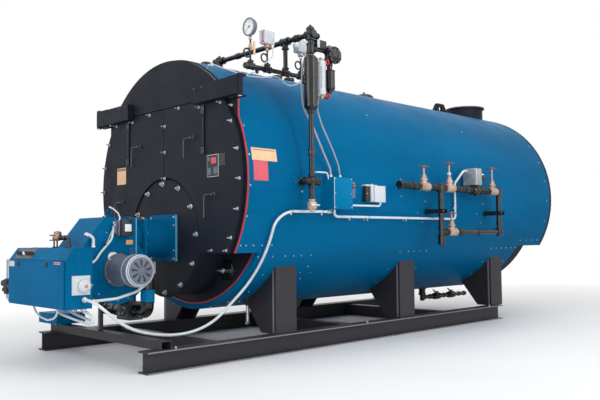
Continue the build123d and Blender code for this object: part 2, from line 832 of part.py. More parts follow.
with BuildPart() as water_column:
    with BuildSketch(Plane.XY.offset(column_bottom)):
        with Locations((column_x, column_y)):
            Circle(column_radius)
    extrude(amount=column_length)
    chamfer(water_column.faces().sort_by(Axis.Z)[-1].edges(), column_edge)
    chamfer(water_column.faces().sort_by(Axis.Z)[0].edges(), column_edge)
water_column.part.label = "water_column"
export_step(water_column.part, "parts/water_column.step")

# Drain below the column, with a cross at the lower shell connection
cross_drop = 15
cross_height = axis_height - cross_drop
cross_leg = 164
cross_reach = 95
cross_radius = 32
union_rise = 240
union_length = 60
with BuildPart() as column_drain:
    with BuildSketch(Plane.XY.offset(cross_height - cross_leg)):
        with Locations((column_x, column_y)):
            Circle(pipe_radius)
    extrude(amount=column_bottom - cross_height + cross_leg)
    with BuildSketch(Plane.XY.offset(cross_height + union_rise)):
        with Locations((column_x, column_y)):
            Circle(fitting_radius)
    extrude(amount=union_length)
    with BuildSketch(Plane.XZ.offset(-column_y + cross_reach)):
        with Locations((column_x, cross_height)):
            Circle(cross_radius)
    extrude(amount=-2 * cross_reach)
    with BuildSketch(Plane.YZ.offset(jacket_radius - pipe_root)):
        with Locations((column_y, cross_height)):
            Circle(pipe_radius)
    extrude(amount=column_x - jacket_radius + pipe_root)
    with Locations(Location((0, column_y, axis_height), (90, 0, 0))):
        Cylinder(jacket_radius, 4 * cross_reach, mode=Mode.SUBTRACT)
column_drain.part.label = "column_drain"
export_step(column_drain.part, "parts/column_drain.step")

drain_length = 121
drain_radius = 26
drain_body_radius = 46
drain_body_height = 62
drain_body_drop = 60
with BuildPart() as drain_valve:
    with BuildSketch(Plane.XY.offset(cross_height - cross_leg - drain_length)):
        with Locations((column_x, column_y)):
            Circle(drain_radius)
    extrude(amount=drain_length)
    with Locations((column_x, column_y, cross_height - cross_leg - drain_body_drop)):
        Cylinder(drain_body_radius, drain_body_height)
drain_valve.part.label = "drain_valve"
export_step(drain_valve.part, "parts/drain_valve.step")

# Gauge glass beside the column
glass_spacing = 110
glass_shift = 30
glass_radius = 44
glass_pipe_radius = 13
glass_block_side = 46
glass_block_height = 60
glass_low_inset = 150
glass_high_inset = 40
glass_x = column_x + glass_shift
glass_y = column_y + glass_spacing
glass_low = column_bottom + glass_low_inset
glass_high = column_top - glass_high_inset
with BuildPart() as gauge_glass:
    with BuildSketch(Plane.XY.offset(glass_low)):
        with Locations((glass_x, glass_y)):
            Circle(glass_radius)
    extrude(amount=glass_high - glass_low)
    for level in (glass_low, glass_high):
        with Locations((glass_x, glass_y, level)):
            Box(glass_block_side, glass_block_side, glass_block_height)
        with BuildSketch(Plane.XZ.offset(-column_y)):
            with Locations((column_x, level)):
                Circle(glass_pipe_radius)
        extrude(amount=-glass_spacing)
    add(water_column.part, mode=Mode.SUBTRACT)
gauge_glass.part.label = "gauge_glass"
export_step(gauge_glass.part, "parts/gauge_glass.step")

# Auxiliary low water cutoff behind the column
cutoff_spacing = 255
cutoff_arm_radius = 18
cutoff_body_radius = 52
cutoff_body_length = 200
cutoff_neck_radius = 28
cutoff_neck_length = 100
cutoff_head_radius = 46
cutoff_head_rise = 60
cutoff_head_fall = 70
cutoff_slope = 18
cutoff_y = column_y + cutoff_spacing
head_top = arm_height + cutoff_head_rise
head_bottom = arm_height - cutoff_head_fall
body_top = head_bottom - cutoff_neck_length
body_bottom = body_top - cutoff_body_length
with BuildPart() as auxiliary_cutoff:
    with BuildSketch(Plane.XZ.offset(-cutoff_y)):
        with BuildLine():
            Polyline(
                (column_x, body_bottom),
                (column_x + cutoff_body_radius - cutoff_slope, body_bottom),
                (column_x + cutoff_body_radius, body_bottom + cutoff_slope),
                (column_x + cutoff_body_radius, body_top - cutoff_slope),
                (column_x + cutoff_neck_radius, body_top),
                (column_x + cutoff_neck_radius, head_bottom),
                (column_x + cutoff_head_radius, head_bottom),
                (column_x + cutoff_head_radius, head_top - cutoff_slope),
                (column_x + cutoff_head_radius - cutoff_slope, head_top),
                (column_x, head_top),
                close=True,
            )
        make_face()
    revolve(axis=Axis((column_x, cutoff_y, 0), (0, 0, 1)))
    with BuildSketch(Plane.XZ.offset(-column_y)):
        with Locations((column_x, arm_height)):
            Circle(cutoff_arm_radius)
    extrude(amount=-cutoff_spacing)
    add(equalizing_pipe.part, mode=Mode.SUBTRACT)
auxiliary_cutoff.part.label = "auxiliary_cutoff"
export_step(auxiliary_cutoff.part, "parts/auxiliary_cutoff.step")

# Pressure gauge and pressure controls on the manifold
gauge_radius = 86
gauge_depth = 50
gauge_stem = 368
gauge_stem_radius = 11
gauge_cock_rise = 180
gauge_cock_side = 40
gauge_cock_height = 60
gauge_y = front_y + 262
with BuildPart() as pressure_gauge:
    with BuildSketch(Plane.XZ.offset(-gauge_y + gauge_depth / 2)):
        with Locations((manifold_x, manifold_height + gauge_stem)):
            Circle(gauge_radius)
    extrude(amount=-gauge_depth)
    with BuildSketch(Plane.XY.offset(manifold_height)):
        with Locations((manifold_x, gauge_y)):
            Circle(gauge_stem_radius)
    extrude(amount=gauge_stem)
    with Locations((manifold_x, gauge_y, manifold_height + gauge_cock_rise)):
        Box(gauge_cock_side, gauge_cock_side, gauge_cock_height)
    add(control_manifold.part, mode=Mode.SUBTRACT)
pressure_gauge.part.label = "pressure_gauge"
export_step(pressure_gauge.part, "parts/pressure_gauge.step")

control_offset_front = 470
control_offset_rear = 912
control_stem_front = 305
control_stem_rear = 300
control_stem_radius = 9
control_width = 80
control_side = 130
control_places = (
    (control_offset_front, control_stem_front),
    (control_offset_rear, control_stem_rear),
)
with BuildPart() as pressure_controls:
    for offset, stem in control_places:
        with BuildSketch(Plane.XY.offset(manifold_height)):
            with Locations((manifold_x, front_y + offset)):
                Circle(control_stem_radius)
        extrude(amount=stem)
        with Locations((manifold_x, front_y + offset, manifold_height + stem)):
            Box(control_width, control_side, control_side)
    add(control_manifold.part, mode=Mode.SUBTRACT)
pressure_controls.part.label = "pressure_controls"
export_step(pressure_controls.part, "parts/pressure_controls.step")

# Boxes on the jacket
box_root = 100
junction_box_reach = 125
junction_box_offset = 1148
junction_box_length = 264
junction_box_height = 310
junction_box_drop = 110
junction_box_middle = axis_height - junction_box_drop
junction_box_bottom = junction_box_middle - junction_box_height / 2
socket_radius = 18
socket_clearance = 50
socket_inset = 29
socket_drop = 25
socket_reach = 35
socket_x = jacket_radius + socket_clearance
socket_y = front_y + junction_box_offset - junction_box_length / 2 + socket_inset
socket_height = junction_box_bottom - socket_drop
small_control_reach = 80
small_control_root = 50
small_control_offset = 1711
small_control_length = 273
small_control_height = 175
small_control_drop = 90
with BuildPart() as junction_box:
    with Locations(
        (
            jacket_radius + (junction_box_reach - box_root) / 2,
            front_y + junction_box_offset,
            junction_box_middle,
        ),
    ):
        Box(junction_box_reach + box_root, junction_box_length, junction_box_height)
    with Locations(Location((0, front_y + junction_box_offset, axis_height), (90, 0, 0))):
        Cylinder(jacket_radius, 2 * junction_box_length, mode=Mode.SUBTRACT)
    with BuildSketch(Plane.XY.offset(socket_height - socket_radius)):
        with Locations((socket_x, socket_y)):
            Circle(socket_radius)
    extrude(amount=socket_drop + socket_radius)
    with BuildSketch(Plane.XZ.offset(-socket_y)):
        with Locations((socket_x, socket_height)):
            Circle(socket_radius)
    extrude(amount=socket_reach)
junction_box.part.label = "junction_box"
export_step(junction_box.part, "parts/junction_box.step")

with BuildPart() as small_control:
    with Locations(
        (
            jacket_radius + (small_control_reach - small_control_root) / 2,
            front_y + small_control_offset,
            axis_height - small_control_drop,
        ),
    ):
        Box(small_control_reach + small_control_root, small_control_length, small_control_height)
    with Locations(Location((0, front_y + small_control_offset, axis_height), (90, 0, 0))):
        Cylinder(jacket_radius, 2 * small_control_length, mode=Mode.SUBTRACT)
small_control.part.label = "small_control"
export_step(small_control.part, "parts/small_control.step")

# Feed water valve train on the right side
train_pipe_radius = 30
train_reach = 170
train_x = jacket_radius + train_reach
train_rise = 7
train_height = axis_height + train_rise
train_start = 1957
train_length = 1973
train_end = train_start + train_length
drop_setback = 748
drop_front = train_start + drop_setback
bottom_drop = 494
bottom_height = train_height - bottom_drop
foot_drop = 93
foot_height = bottom_height - foot_drop
elbow_radius = 41
elbow_length = 88
end_cap_radius = 42
end_cap_length = 44
with BuildPart() as feed_pipe:
    with BuildSketch(Plane.XZ.offset(-front_y - train_start)):
        with Locations((train_x, train_height)):
            Circle(train_pipe_radius)
    extrude(amount=-train_length)
    with BuildSketch(Plane.XZ.offset(-front_y - drop_front)):
        with Locations((train_x, bottom_height)):
            Circle(train_pipe_radius)
    extrude(amount=-(train_end - drop_front))
    for offset, bottom in ((drop_front, foot_height), (train_end, bottom_height)):
        with BuildSketch(Plane.XY.offset(bottom)):
            with Locations((train_x, front_y + offset)):
                Circle(train_pipe_radius)
        extrude(amount=train_height - bottom)
        for level in (train_height, bottom):
            with Locations((train_x, front_y + offset, level)):
                Cylinder(elbow_radius, elbow_length)
    with Locations(Location((train_x, front_y + train_start + end_cap_length / 2, train_height), (90, 0, 0))):
        Cylinder(end_cap_radius, end_cap_length)
feed_pipe.part.label = "feed_pipe"
export_step(feed_pipe.part, "parts/feed_pipe.step")

valve_front = 438
valve_middle = 919
valve_rear = 1830
valve_bypass = 200
control_valve_place = 1473
wheel_lift_low = 215
wheel_lift_high = 280
valve_places = {
    "front": (train_start + valve_front, train_height, wheel_lift_low),
    "middle": (train_start + valve_middle, train_height, wheel_lift_high),
    "rear": (train_start + valve_rear, train_height, wheel_lift_high),
    "bypass": (drop_front + valve_bypass, bottom_height, wheel_lift_low),
}
valve_radius = 44
valve_length = 160
bonnet_radius = 30
bonnet_height = 120
bonnet_base = 20
stem_radius = 10
stem_clearance = 0.1
wheel_radius = 58
wheel_rim = 12
wheel_thickness = 16
wheel_hub_radius = 20
spoke_width = 12
stem_end = 14
with BuildPart() as feed_valves:
    for offset, level, wheel_lift in valve_places.values():
        with BuildSketch(Plane.XZ.offset(-front_y - offset + valve_length / 2)):
            with Locations((train_x, level)):
                Circle(valve_radius)
        extrude(amount=-valve_length)
        with BuildSketch(Plane.XY.offset(level + bonnet_base)):
            with Locations((train_x, front_y + offset)):
                Circle(bonnet_radius)
        extrude(amount=bonnet_height - bonnet_base)
        with BuildSketch(Plane.XY.offset(level + bonnet_base)):
            with Locations((train_x, front_y + offset)):
                Circle(stem_radius)
        extrude(amount=wheel_lift - bonnet_base + stem_end)
        with Locations(Location((train_x, front_y + offset, level), (90, 0, 0))):
            Cylinder(train_pipe_radius, 2 * valve_length, mode=Mode.SUBTRACT)
feed_valves.part.label = "feed_valves"
export_step(feed_valves.part, "parts/feed_valves.step")

for name, place in valve_places.items():
    offset, level, wheel_lift = place
    with BuildPart() as handwheel:
        with BuildSketch(Plane.XY.offset(level + wheel_lift - wheel_thickness / 2)):
            with Locations((train_x, front_y + offset)):
                Circle(wheel_radius)
                Circle(wheel_radius - wheel_rim, mode=Mode.SUBTRACT)
                Rectangle(2 * wheel_radius - wheel_rim, spoke_width)
                Rectangle(spoke_width, 2 * wheel_radius - wheel_rim)
                Circle(wheel_hub_radius)
                Circle(stem_radius + stem_clearance, mode=Mode.SUBTRACT)
        extrude(amount=wheel_thickness)
    handwheel.part.label = "handwheel_" + name
    export_step(handwheel.part, "parts/handwheel_" + name + ".step")

# Motor operated feed valve
control_valve_offset = train_start + control_valve_place
control_valve_radius = 48
control_valve_length = 200
operator_width = 190
operator_length = 120
operator_height = 200
operator_rise = 158
operator_shift = 20
operator_inset = 35
operator_neck_radius = 26
operator_x = train_x - operator_inset
operator_y = front_y + control_valve_offset - operator_shift
operator_middle = train_height + operator_rise
with BuildPart() as feed_control_valve:
    with Locations(Location((train_x, front_y + control_valve_offset, train_height), (90, 0, 0))):
        Cylinder(control_valve_radius, control_valve_length)
    with BuildSketch(Plane.XY.offset(train_height)):
        with Locations((train_x, front_y + control_valve_offset)):
            Circle(operator_neck_radius)
    extrude(amount=operator_rise)
    with Locations((operator_x, operator_y, operator_middle)):
        Box(operator_width, operator_length, operator_height)
    with Locations(Location((train_x, front_y + control_valve_offset, train_height), (90, 0, 0))):
        Cylinder(train_pipe_radius, 2 * control_valve_length, mode=Mode.SUBTRACT)
feed_control_valve.part.label = "feed_control_valve"
export_step(feed_control_valve.part, "parts/feed_control_valve.step")

# Channel brackets that carry the two drops
bracket_overhang = 50
bracket_root = 100
bracket_drop = 287
bracket_height = 50
bracket_plate = 8
bracket_before = 42
bracket_after = 48
bracket_level = train_height - bracket_drop
bracket_inner_x = jacket_radius - bracket_root
bracket_outer_x = train_x + bracket_overhang
bracket_middle_x = (bracket_inner_x + bracket_outer_x) / 2
bracket_length = bracket_outer_x - bracket_inner_x
with BuildPart() as pipe_brackets:
    for pipe_offset in (drop_front, train_end):
        low_y = front_y + pipe_offset - bracket_before
        high_y = front_y + pipe_offset + bracket_after
        for level in (bracket_level, bracket_level + bracket_height - bracket_plate):
            with BuildSketch(Plane.XY.offset(level)):
                with Locations((bracket_middle_x, (low_y + high_y) / 2)):
                    Rectangle(bracket_length, high_y - low_y)
                with Locations((train_x, front_y + pipe_offset)):
                    Circle(train_pipe_radius, mode=Mode.SUBTRACT)
            extrude(amount=bracket_plate)
        for web_y in (low_y + bracket_plate / 2, high_y - bracket_plate / 2):
            with Locations((bracket_middle_x, web_y, bracket_level + bracket_height / 2)):
                Box(bracket_length, bracket_plate, bracket_height)
    with Locations(Location((0, front_y + train_end, axis_height), (90, 0, 0))):
        Cylinder(jacket_radius, 2 * train_end, mode=Mode.SUBTRACT)
pipe_brackets.part.label = "pipe_brackets"
export_step(pipe_brackets.part, "parts/pipe_brackets.step")

# Rigid conduit along the jacket
conduit_radius = 13
conduit_clearance = 11
conduit_bend = 50
conduit_drop = 68
conduit_start = 30
conduit_rise_setback = 150
conduit_turn_setback = 70
conduit_entry_inset = 55
conduit_entry_rise = 70
conduit_knee_drop = 80
conduit_x = jacket_radius + conduit_clearance + conduit_radius
conduit_height = junction_box_bottom - conduit_drop
conduit_start_y = front_y + junction_box_offset - conduit_start
conduit_end_y = operator_y - operator_length / 2
conduit_rise_y = conduit_end_y - conduit_rise_setback
conduit_entry_x = operator_x - operator_width / 2 + conduit_entry_inset
conduit_entry_height = operator_middle + conduit_entry_rise
with BuildPart() as jacket_conduit:
    with BuildLine():
        FilletPolyline(
            (conduit_x, conduit_start_y, junction_box_bottom),
            (conduit_x, conduit_start_y, conduit_height),
            (conduit_x, conduit_rise_y, conduit_height),
            (conduit_x, conduit_rise_y, operator_middle - conduit_knee_drop),
            (conduit_entry_x, conduit_end_y - conduit_turn_setback, conduit_entry_height),
            (conduit_entry_x, conduit_end_y, conduit_entry_height),
            radius=conduit_bend,
        )
    with BuildSketch(Plane((conduit_x, conduit_start_y, junction_box_bottom), z_dir=(0, 0, -1))):
        Circle(conduit_radius)
    sweep()
jacket_conduit.part.label = "jacket_conduit"
export_step(jacket_conduit.part, "parts/jacket_conduit.step")

# Flexible conduit from the cabinet to the junction box
loop_radius = 13
loop_points = [
    (cabinet_right, front_y - 1120, 600),
    (660, front_y - 1120, 600),
    (748, front_y - 1056, 526),
    (748, front_y - 900, 395),
    (742, front_y - 720, 312),
    (748, front_y - 460, 258),
    (758, front_y - 190, 262),
    (768, front_y + 40, 340),
    (776, front_y + 215, 480),
    (856, front_y + 358, 655),
    (980, front_y + 384, 812),
    (1090, front_y + 385, 960),
    (1172, front_y + 382, 1105),
    (1226, front_y + 384, 1250),
    (1260, front_y + 510, 1343),
    (1266, front_y + 700, 1343),
    (socket_x, front_y + 850, socket_height),
    (socket_x, socket_y - socket_reach, socket_height),
]


def runs(points):
    return [Vector(*b) - Vector(*a) for a, b in zip(points[:-1], points[1:])]


def bend_radii(points):
    radii = []
    steps = runs(points)
    for before, after in zip(steps[:-1], steps[1:]):
        half_turn = radians(before.get_angle(after) / 2)
        radii.append(0.45 * min(before.length, after.length) / tan(half_turn))
    return radii


loop_bend = min(bend_radii(loop_points))
print("conduit loop radii", [round(r) for r in bend_radii(loop_points)])
print("conduit loop runs", [round(r.length) for r in runs(loop_points)])
with BuildPart() as conduit_loop:
    with BuildLine() as route:
        FilletPolyline(*loop_points, radius=loop_bend)
    first_run = Vector(*loop_points[1]) - Vector(*loop_points[0])
    with BuildSketch(Plane(loop_points[0], z_dir=first_run)):
        Circle(loop_radius)
    sweep()
print("conduit loop length", round(sum(edge.length for edge in route.line.edges())))
conduit_loop.part.label = "conduit_loop"
export_step(conduit_loop.part, "parts/conduit_loop.step")
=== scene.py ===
import math
from itertools import product

import bmesh
import bpy
from mathutils import Matrix, Vector


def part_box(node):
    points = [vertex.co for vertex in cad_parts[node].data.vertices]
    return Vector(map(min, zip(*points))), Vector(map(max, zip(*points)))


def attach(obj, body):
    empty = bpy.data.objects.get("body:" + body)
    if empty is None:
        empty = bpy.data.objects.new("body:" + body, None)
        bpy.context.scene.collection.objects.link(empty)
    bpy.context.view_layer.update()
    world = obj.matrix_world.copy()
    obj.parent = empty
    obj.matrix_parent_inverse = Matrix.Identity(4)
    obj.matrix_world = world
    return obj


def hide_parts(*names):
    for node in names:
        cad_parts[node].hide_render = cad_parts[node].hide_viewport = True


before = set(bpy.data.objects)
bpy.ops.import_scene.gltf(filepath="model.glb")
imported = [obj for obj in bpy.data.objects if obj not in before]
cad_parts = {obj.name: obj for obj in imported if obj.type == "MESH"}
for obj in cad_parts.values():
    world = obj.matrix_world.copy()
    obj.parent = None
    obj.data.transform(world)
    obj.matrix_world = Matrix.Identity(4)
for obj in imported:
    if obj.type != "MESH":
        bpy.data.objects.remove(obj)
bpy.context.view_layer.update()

# Sizes and shapes are in millimetres of the frame. Only what Blender is given is in metres.
MM = 1000
X, Y, Z = Vector((1, 0, 0)), Vector((0, 1, 0)), Vector((0, 0, 1))
SIDES = (-1, 1)


def span(name):
    """The low and the high corner of a CAD node."""
    low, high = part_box(name)
    return Vector(low) * MM, Vector(high) * MM


jacket_low, jacket_high = span("boiler_jacket")
RADIUS = jacket_high.x
AXIS = jacket_high.z - RADIUS
CROWN = AXIS + RADIUS
SHELL, REAR = jacket_low.y, jacket_high.y
DOOR_LOW, DOOR_HIGH = span("smokebox_door_right")
FRONT = DOOR_LOW.y
FLANGE_LOW, FLANGE_HIGH = span("front_flange_plate")
FURNACE = sum(corner.z for corner in span("furnace_front_plate")) / 2


def vec(x, y, z):
    return Vector((x, y, z))


def spoke(axis, angle):
    """The way out from an axis at an angle in degrees: Y to Z round X, X to Z round Y, X to Y round Z."""
    across, up = math.cos(math.radians(angle)), math.sin(math.radians(angle))
    return {"x": vec(0, across, up), "y": vec(across, 0, up), "z": vec(across, up, 0)}[axis]


def ring_point(angle, radius, y, centre=AXIS):
    """A point on a circle round an axis that runs from front to rear."""
    return vec(0, y, centre) + spoke("y", angle) * radius


def arc(first, last, steps, radius, y):
    """A path on a circle round the boiler's axis."""
    return [ring_point(first + (last - first) * i / steps, radius, y) for i in range(steps + 1)]


def radial(point):
    """The way out from the boiler's axis."""
    return vec(point.x, 0, point.z - AXIS).normalized()


def on_shell(angle, y, lift=0):
    """A point on the jacket, by degrees above the right side and distance behind the door face, and the way out."""
    out = spoke("y", angle)
    return vec(0, FRONT + y, AXIS) + out * (RADIUS + lift), out


def placed(name, data):
    made = bpy.data.objects.new(name, data)
    bpy.context.scene.collection.objects.link(made)
    return made


# Camera at the photograph's angle, in metres
CAMERA_PLACE = vec(6.05334, -5.89042, 1.08435)
CAMERA_YAW = math.radians(45.94)
CAMERA_ROLL = math.radians(-0.58)
CAMERA_FORWARD = vec(-0.71750769, 0.69439475, 0.05475987)
CAMERA_LENS = 42.873


def make_camera():
    right = vec(math.cos(CAMERA_YAW), math.sin(CAMERA_YAW), 0)
    up = right.cross(CAMERA_FORWARD)
    side = math.cos(CAMERA_ROLL) * right + math.sin(CAMERA_ROLL) * up
    top = math.cos(CAMERA_ROLL) * up - math.sin(CAMERA_ROLL) * right
    data = bpy.data.cameras.new("camera")
    data.lens = CAMERA_LENS
    data.sensor_width = 36
    data.sensor_fit = "HORIZONTAL"
    data.clip_end = 200
    camera = placed("camera", data)
    matrix = Matrix((side, top, -CAMERA_FORWARD)).transposed().to_4x4()
    matrix.translation = CAMERA_PLACE
    camera.matrix_world = matrix
    bpy.context.scene.camera = camera


make_camera()


# Materials
def linear(color):
    return tuple(c / 255 / 12.92 if c <= 10 else ((c / 255 + 0.055) / 1.055) ** 2.4 for c in color) + (1,)


def scaled(color, factor):
    return tuple(min(1, c * factor) for c in color[:3]) + (1,)


class Nodes:
    """A node tree and short calls for its nodes."""

    def __init__(self, owner):
        owner.use_nodes = True
        self.owner = owner
        self.tree = owner.node_tree

    def put(self, socket, value):
        """Links an output to a socket, or sets the socket to a value."""
        if hasattr(value, "is_output"):
            self.tree.links.new(value, socket)
        else:
            socket.default_value = value

    def set(self, node, **inputs):
        for key, value in inputs.items():
            self.put(node.inputs[key.replace("_", " ")], value)
        return node

    def add(self, kind, **inputs):
        return self.set(self.tree.nodes.new("ShaderNode" + kind), **inputs)

    def math(self, operation, first, second):
        node = self.add("Math")
        node.operation = operation
        self.put(node.inputs[0], first)
        self.put(node.inputs[1], second)
        return node.outputs[0]


class Finish(Nodes):
    """A material that is built up from noise in the object's own coordinates."""

    def __init__(self, name):
        super().__init__(bpy.data.materials.new(name))
        self.shader = self.tree.nodes["Principled BSDF"]
        self.place = self.add("TexCoord").outputs["Object"]

    def noise(self, scale, detail=3.0, roughness=0.55, stretch=None):
        place = self.place
        if stretch:
            place = self.add("Mapping", Vector=place, Scale=stretch).outputs["Vector"]
        return self.add("TexNoise", Vector=place, Scale=scale, Detail=detail, Roughness=roughness).outputs["Fac"]

    def ramp(self, value, low, high, first=(0, 0, 0, 1), last=(1, 1, 1, 1)):
        node = self.add("ValToRGB", Fac=value)
        for stop, position, color in zip(node.color_ramp.elements, (low, high), (first, last)):
            stop.position = position
            stop.color = color
        return node.outputs["Color"]

    def mix(self, amount, first, last):
        node = self.add("Mix")
        node.data_type = "RGBA"
        for key, value in ((0, amount), (6, first), (7, last)):
            self.put(node.inputs[key], value)
        return node.outputs[2]

    def drift(self, scale, detail, color, dark, light):
        """Patches between a darker and a lighter shade of a colour."""
        return self.ramp(self.noise(scale, detail), 0.3, 0.75, scaled(color, dark), scaled(color, light))

    def surface(self, color, patches, shares, gloss, grain, relief, **inputs):
        """Colour, roughness in patches between two shares of the gloss, and a fine relief."""
        low, scale, detail = patches
        first, last = ((min(1, gloss * share),) * 3 + (1,) for share in shares)
        strength, distance = relief
        rough = self.ramp(self.noise(scale, detail), low, 0.8, first, last)
        bump = self.add("Bump", Height=grain, Strength=strength, Distance=distance)
        self.set(self.shader, Base_Color=color, Roughness=rough, Normal=bump.outputs["Normal"], **inputs)
        return self.owner


def painted(name, color, dust, gloss=0.4, shine=0.3, wear=None):
    """Sprayed enamel on steel: large colour drift in streaks along the length, partly random tone and partly painted
    reflection streaks, fine texture, dust on upward faces and in patches.
    """
    color, dust = linear(color), linear(dust)
    made = Finish(name)
    # streaks of tone along the length: partly random tone, partly painted reflection streaks like a sheen on the jacket
    tone_and_sheen_streaks = made.ramp(made.noise(1.7, 4, stretch=(1, 0.3, 1)), 0.3, 0.7, scaled(color, 0.84), scaled(color, 1.16))
    final = made.mix(made.ramp(made.noise(38, 5), 0.42, 0.75), tone_and_sheen_streaks, scaled(color, 1.12))
    spots = made.ramp(made.noise(7.5, 8, 0.68), 0.6, 0.82)
    normal = made.add("NewGeometry").outputs["Normal"]
    upward = made.add("SeparateXYZ", Vector=normal).outputs["Z"]
    settled = made.math("MULTIPLY", made.ramp(upward, 0.55, 1.0), made.ramp(made.noise(5, 6), 0.35, 0.75))
    final = made.mix(made.math("MULTIPLY", made.math("MAXIMUM", settled, spots), 0.06), final, dust)
    if wear:
        chips = made.ramp(made.noise(55, 9, 0.75), 0.735, 0.75)
        final = made.mix(made.math("MULTIPLY", chips, 0.7), final, linear(wear))
    grain = made.noise(700, 2)
    return made.surface(final, (0.25, 3.1, 6), (0.8, 1.35), gloss, grain, (0.12, 0.0005), Specular_IOR_Level=shine)


def cast(name, color, metallic=0.0, gloss=0.6, grain=260, texture=0.35):
    """Cast or forged metal with a coarse skin."""
    color = linear(color)
    made = Finish(name)
    worn = made.ramp(made.noise(70, 8, 0.7), 0.62, 0.8)
    final = made.mix(worn, made.drift(9, 6, color, 0.72, 1.35), scaled(color, 1.9))
    skin = made.noise(grain, 6, 0.65)
    return made.surface(final, (0.3, 21, 5), (0.75, 1.3), gloss, skin, (texture, 0.0012), Metallic=metallic)


def machined(name, color, gloss=0.3, metallic=1.0):
    """Plated or turned metal with fine marks."""
    made = Finish(name)
    final = made.drift(26, 5, linear(color), 0.8, 1.15)
    marks = made.noise(900, 2, stretch=(1, 1, 0.1))
    return made.surface(final, (0.3, 60, 4), (0.7, 1.5), gloss, marks, (0.12, 0.0004), Metallic=metallic)


def moulded(name, color, gloss=0.45):
    """Plastic, rubber or printed film."""
    made = Finish(name)
    final = made.drift(14, 4, linear(color), 0.9, 1.08)
    return made.surface(final, (0.3, 33, 4), (0.85, 1.2), gloss, made.noise(1200, 2), (0.15, 0.0004))


BLUE = painted("blue_enamel", (1, 92, 136), (80, 135, 165), gloss=0.34, shine=0.02)
BRIGHT_BLUE = painted("bright_blue_enamel", (1, 108, 152), (80, 140, 170), gloss=0.34, shine=0.04)
# a lighter blue for strips that are painted highlights on lit edges
HIGHLIGHT_BLUE = painted("edge_blue_enamel", (96, 160, 190), (150, 180, 195), gloss=0.36)
BLACK = painted("black_enamel", (24, 28, 38), (96, 100, 108), gloss=0.5, shine=0.15)
SKID_BLACK = painted("skid_enamel", (43, 42, 47), (120, 112, 104), gloss=0.42, wear=(92, 84, 78))
GREY = painted("grey_enamel", (98, 106, 122), (160, 160, 160), gloss=0.42)
PALE = painted("pale_enamel", (188, 194, 200), (150, 148, 144), gloss=0.45)
WHEEL_RED = painted("wheel_enamel", (142, 62, 62), (150, 120, 115), gloss=0.35)
RED = painted("red_enamel", (176, 42, 46), (150, 120, 115), gloss=0.35)
# a lighter grey for strips that are painted highlights on the edges of the black skid
HIGHLIGHT_GREY = painted("edge_grey_enamel", (112, 112, 118), (130, 128, 124))
IRON = cast("black_iron", (17, 17, 20), gloss=0.2, texture=0.03)
BRASS = cast("cast_brass", (176, 154, 140), metallic=0.45, gloss=0.4, texture=0.25)
BRUSHED = cast("spangled_zinc", (164, 168, 172), metallic=0.55, gloss=0.42, grain=120, texture=0.15)
LAGGING = cast("refractory_board", (198, 188, 168), gloss=0.95, grain=90, texture=0.5)
BLACKENED = machined("blackened_steel", (74, 78, 86), gloss=0.34, metallic=0.5)
ZINC = machined("zinc_plate", (196, 198, 202), gloss=0.36)
STEEL = machined("bright_steel", (168, 170, 174), gloss=0.28)
COPPER = machined("copper", (176, 132, 110), gloss=0.32, metallic=0.5)
CONDUIT = moulded("conduit_jacket", (204, 212, 217), gloss=0.4)
DULL_CONDUIT = moulded("dull_conduit_jacket", (150, 156, 162))
RUBBER = moulded("black_plastic", (34, 35, 38), gloss=0.5)
CREAM = moulded("cream_film", (222, 184, 144), gloss=0.5)
PINK = moulded("red_film", (206, 80, 96), gloss=0.5)
BROWN = moulded("brown_film", (150, 104, 78), gloss=0.5)
WHITE = moulded("white_film", (226, 228, 230))
ORANGE = moulded("orange_film", (226, 160, 84), gloss=0.5)

# Every CAD node takes its finish here, and black enamel if it isn't named
NODE_FINISH = (
    (BLUE, "boiler_jacket blower_housing burner_tube control_cabinet cabinet_cover base_box"),
    (BRIGHT_BLUE, "junction_box"),
    (GREY, "blower_motor"),
    (BLACKENED, "gas_valve"),
    (PALE, "feed_control_valve pressure_controls small_control alarm_bell"),
    (CONDUIT, "jacket_conduit conduit_loop"),
    (RUBBER, "damper_actuator"),
    (BRASS, "feed_valves drain_valve gauge_glass"),
    (IRON, "pressure_gauge water_column column_drain equalizing_pipe control_manifold auxiliary_cutoff feed_pipe"),
    (IRON, "gas_pipe manway"),
    (SKID_BLACK, "skid_beam_left skid_beam_right cross_members front_cross_tube burner_post"),
    (SKID_BLACK, "saddle_front saddle_middle saddle_rear"),
    (WHEEL_RED, "handwheel_front handwheel_middle handwheel_rear handwheel_bypass"),
)
finish_of = {name: finish for finish, names in NODE_FINISH for name in names.split()}
for node_name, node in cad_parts.items():
    for material_slot in node.material_slots:
        material_slot.material = finish_of.get(node_name, BLACK)
    node.data.shade_smooth()
    node.data.set_sharp_from_angle(angle=math.radians(32))


# Flexible conduit from the cabinet to the junction box, with the route of its solid
LOOP_ROUTE = [
    vec(x, FRONT + y, z)
    for x, y, z in (
        (530, -1120, 600), (660, -1120, 600), (748, -1056, 526), (748, -900, 395), (742, -720, 312),
        (748, -460, 258), (758, -190, 262), (768, 40, 340), (776, 215, 480), (856, 358, 655), (980, 384, 812),
        (1090, 385, 960), (1172, 382, 1105), (1226, 384, 1250), (1260, 510, 1343), (1266, 700, 1343),
        (1300, 850, 1345), (1300, 1010, 1345),
    )
]  # fmt: skip
LOOP_RADIUS = 13


def make_cord(name, route, radius, finish):
    curve = bpy.data.curves.new(name, "CURVE")
    curve.dimensions = "3D"
    spline = curve.splines.new("NURBS")
    spline.points.add(len(route) - 1)
    for point, place in zip(spline.points, route):
        point.co = (*place / MM, 1)
    spline.order_u = 3
    spline.use_endpoint_u = True
    spline.resolution_u = 12
    curve.bevel_depth = radius / MM
    curve.bevel_resolution = 4
    curve.use_fill_caps = True
    curve.materials.append(finish)
    return placed(name, curve)


loop = make_cord("flexible_conduit", LOOP_ROUTE, LOOP_RADIUS, CONDUIT)
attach(loop, "boiler")
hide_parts("conduit_loop")


